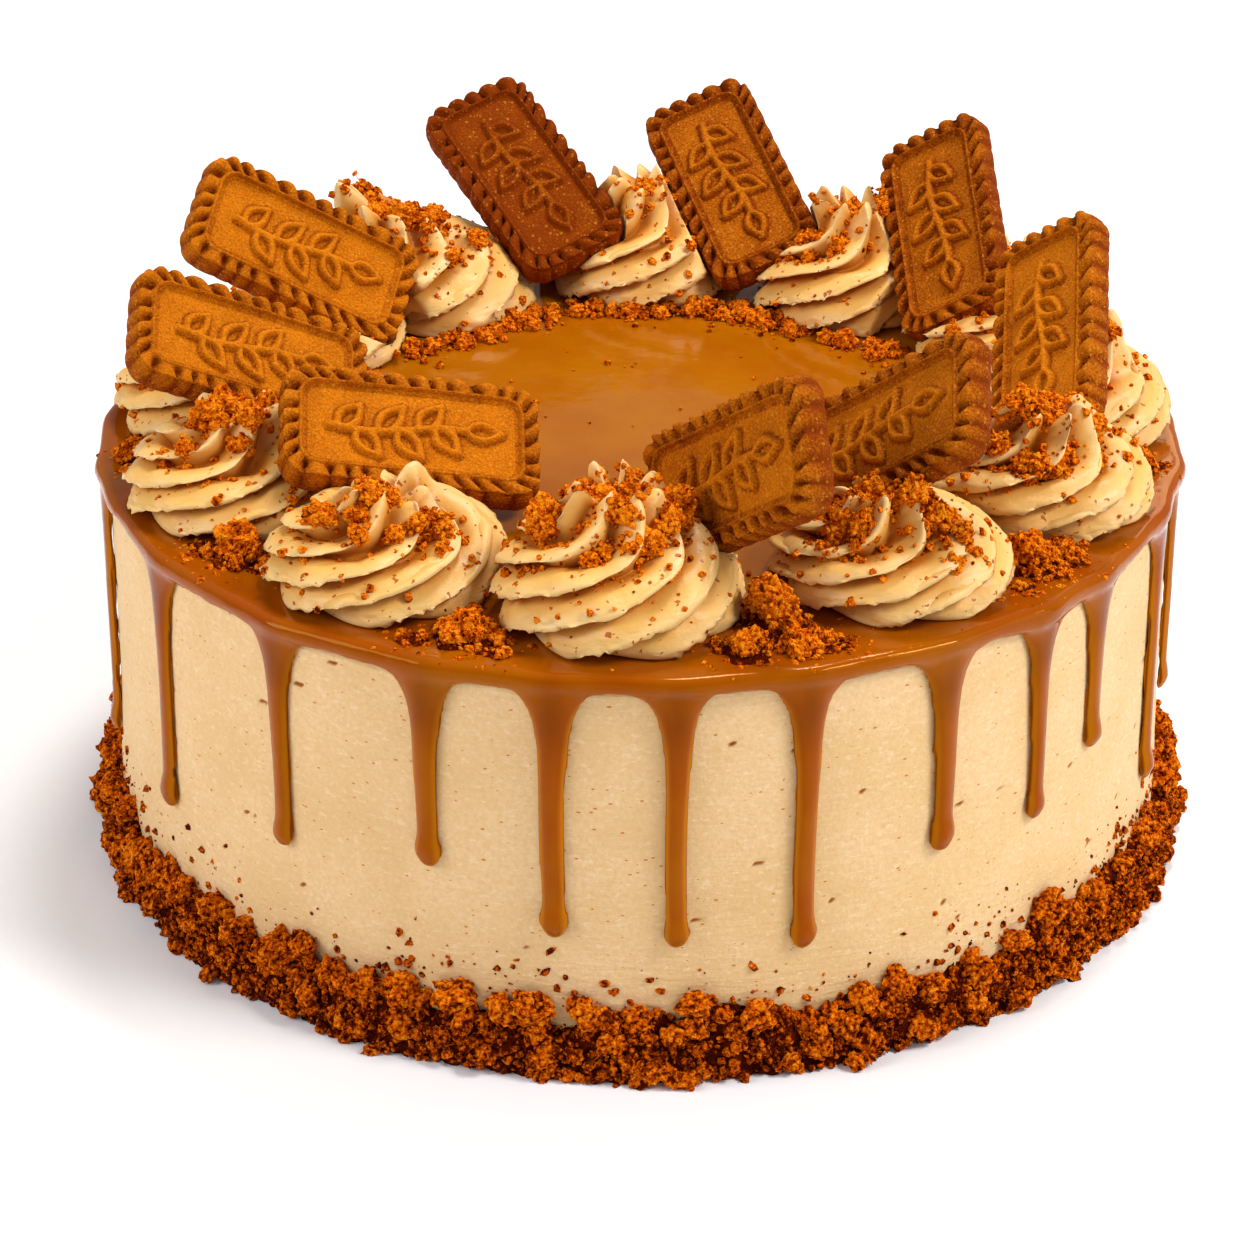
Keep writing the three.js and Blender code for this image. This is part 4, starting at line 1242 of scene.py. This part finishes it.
for number, (made, swirl, stuck) in enumerate(zip(swirls, SWIRLS, CLUMPS), 1):
    middle = around(swirl[0], swirl[1], 0.0)
    spots = points_of(made.data)
    facing_up = np.clip(normals_of(made.data)[:, 2], 0, 1)
    polygons = [tuple(face.vertices) for face in made.data.polygons]
    surface = BVHTree.FromPolygons([Vector(spot) for spot in spots], polygons)
    thick = np.zeros(len(spots))
    for n, (x, y, big) in enumerate(stuck):
        hit = surface.ray_cast(Vector((middle[0] + x, middle[1] + y, ABOVE_ALL)), Vector((0, 0, -1)))[0]
        if hit is None:
            continue
        spot = hit + Vector((0, 0, big * 0.3))
        clump_parts.append(laid_crumb(lumps, number + n, spot, big * 1.12, number + 1.3 * n))
        away = np.linalg.norm(spots - np.array(hit), axis=1)
        thick += np.exp(-((away / (big * 1.9)) ** 2))
    off_foot = spots[:, 2] > TOP + 1.5
    dust = np.clip(thick, 0, 1) * (0.15 + 0.85 * facing_up) * off_foot
    clump_parts.append(scatter(made, dust, chips, 1.7, (1.2, 2.8), 0.3, 1.3, 160 + number))
    dust += 0.10 * (0.4 + 0.6 * facing_up) * off_foot
    cream_grains.append(scatter(made, dust, bits, 26.0, (0.4, 1.8), 0.2, 1.8, 60 + number))
clumps = crumb_piece("crumb_clumps_on_cream", clump_parts, 0.3, 0.3)
everywhere = np.ones(len(clumps.data.vertices))
cream_grains.append(scatter(clumps, everywhere, bits, 16.0, (0.6, 1.4), 0.4, 1.5, 77))
crumb_piece("crumb_grains_on_cream", cream_grains, 1.0, 0.26)

# The camera has the photo's own place and angle, a little above the cake. Soft light comes from
# both sides and from above, a little of it from behind, and the room fills the rest.
PHOTO_PIXELS, FOCAL_PIXELS, SENSOR = 1254, 3200, 36
PITCH, YAW, ROLL = 0.48515, -0.00411, 0.00254
camera = add("camera", bpy.data.cameras.new("camera"))
camera.data.sensor_width = SENSOR
camera.data.lens = FOCAL_PIXELS / PHOTO_PIXELS * SENSOR
camera.location = (0, -0.69934, 0.40989)
camera.rotation_mode = "QUATERNION"
look = Vector((math.sin(YAW) * math.cos(PITCH), math.cos(YAW) * math.cos(PITCH), -math.sin(PITCH)))
camera.rotation_quaternion = look.to_track_quat("-Z", "Y") @ Matrix.Rotation(ROLL, 3, "Z").to_quaternion()
camera.data.clip_start = 0.05
camera.data.clip_end = 20
bpy.context.scene.camera = camera

FLOOR_HALF = 4000
floor_finish, _, _ = food_finish("floor", Roughness=0.7, Base_Color=(0.93, 0.92, 0.90, 1))
corners = [(-1, -1), (1, -1), (1, 1), (-1, 1)]
points = [(x * FLOOR_HALF, y * FLOOR_HALF, -0.05) for x, y in corners]
mesh_piece("floor", points, [(0, 1, 2, 3)], floor_finish)

# Each lamp's name, place, what it points at, size, power and colour.
LAMPS = [
    ("key", (0.86, -0.36, 1.02), (0, 0, 0.08), 0.4, 12, (1, 1, 1)),
    ("low right", (1.15, -0.6, 0.42), (0, 0, 0.06), 0.8, 3.4, (0.8, 0.97, 1.3)),
    ("left", (-1.1, -0.45, 0.75), (0, 0, 0.08), 0.8, 10, (0.98, 1.01, 1.1)),
    ("top", (0.2, 0.5, 1.35), (0, 0, 0.1), 0.45, 11.5, (1, 1, 1)),
    ("low back", (0.45, 1.25, 0.74), (0.1, 0, 0.09), 0.4, 1.2, (1, 0.7, 0.4)),
]
for name, place, target, size, power, colour in LAMPS:
    lamp = add(name, bpy.data.lights.new(name, "AREA"))
    lamp.data.shape = "DISK"
    lamp.data.size = size
    lamp.data.energy = power
    lamp.data.color = colour
    lamp.location = place
    lamp.rotation_mode = "QUATERNION"
    lamp.rotation_quaternion = (Vector(target) - Vector(place)).to_track_quat("-Z", "Y")
world = bpy.data.worlds.new("room")
bpy.context.scene.world = world
world.use_nodes = True
world.node_tree.nodes["Background"].inputs["Color"].default_value = (1, 1, 1, 1)
world.node_tree.nodes["Background"].inputs["Strength"].default_value = 0.32
bpy.context.scene.view_settings.view_transform = "Standard"
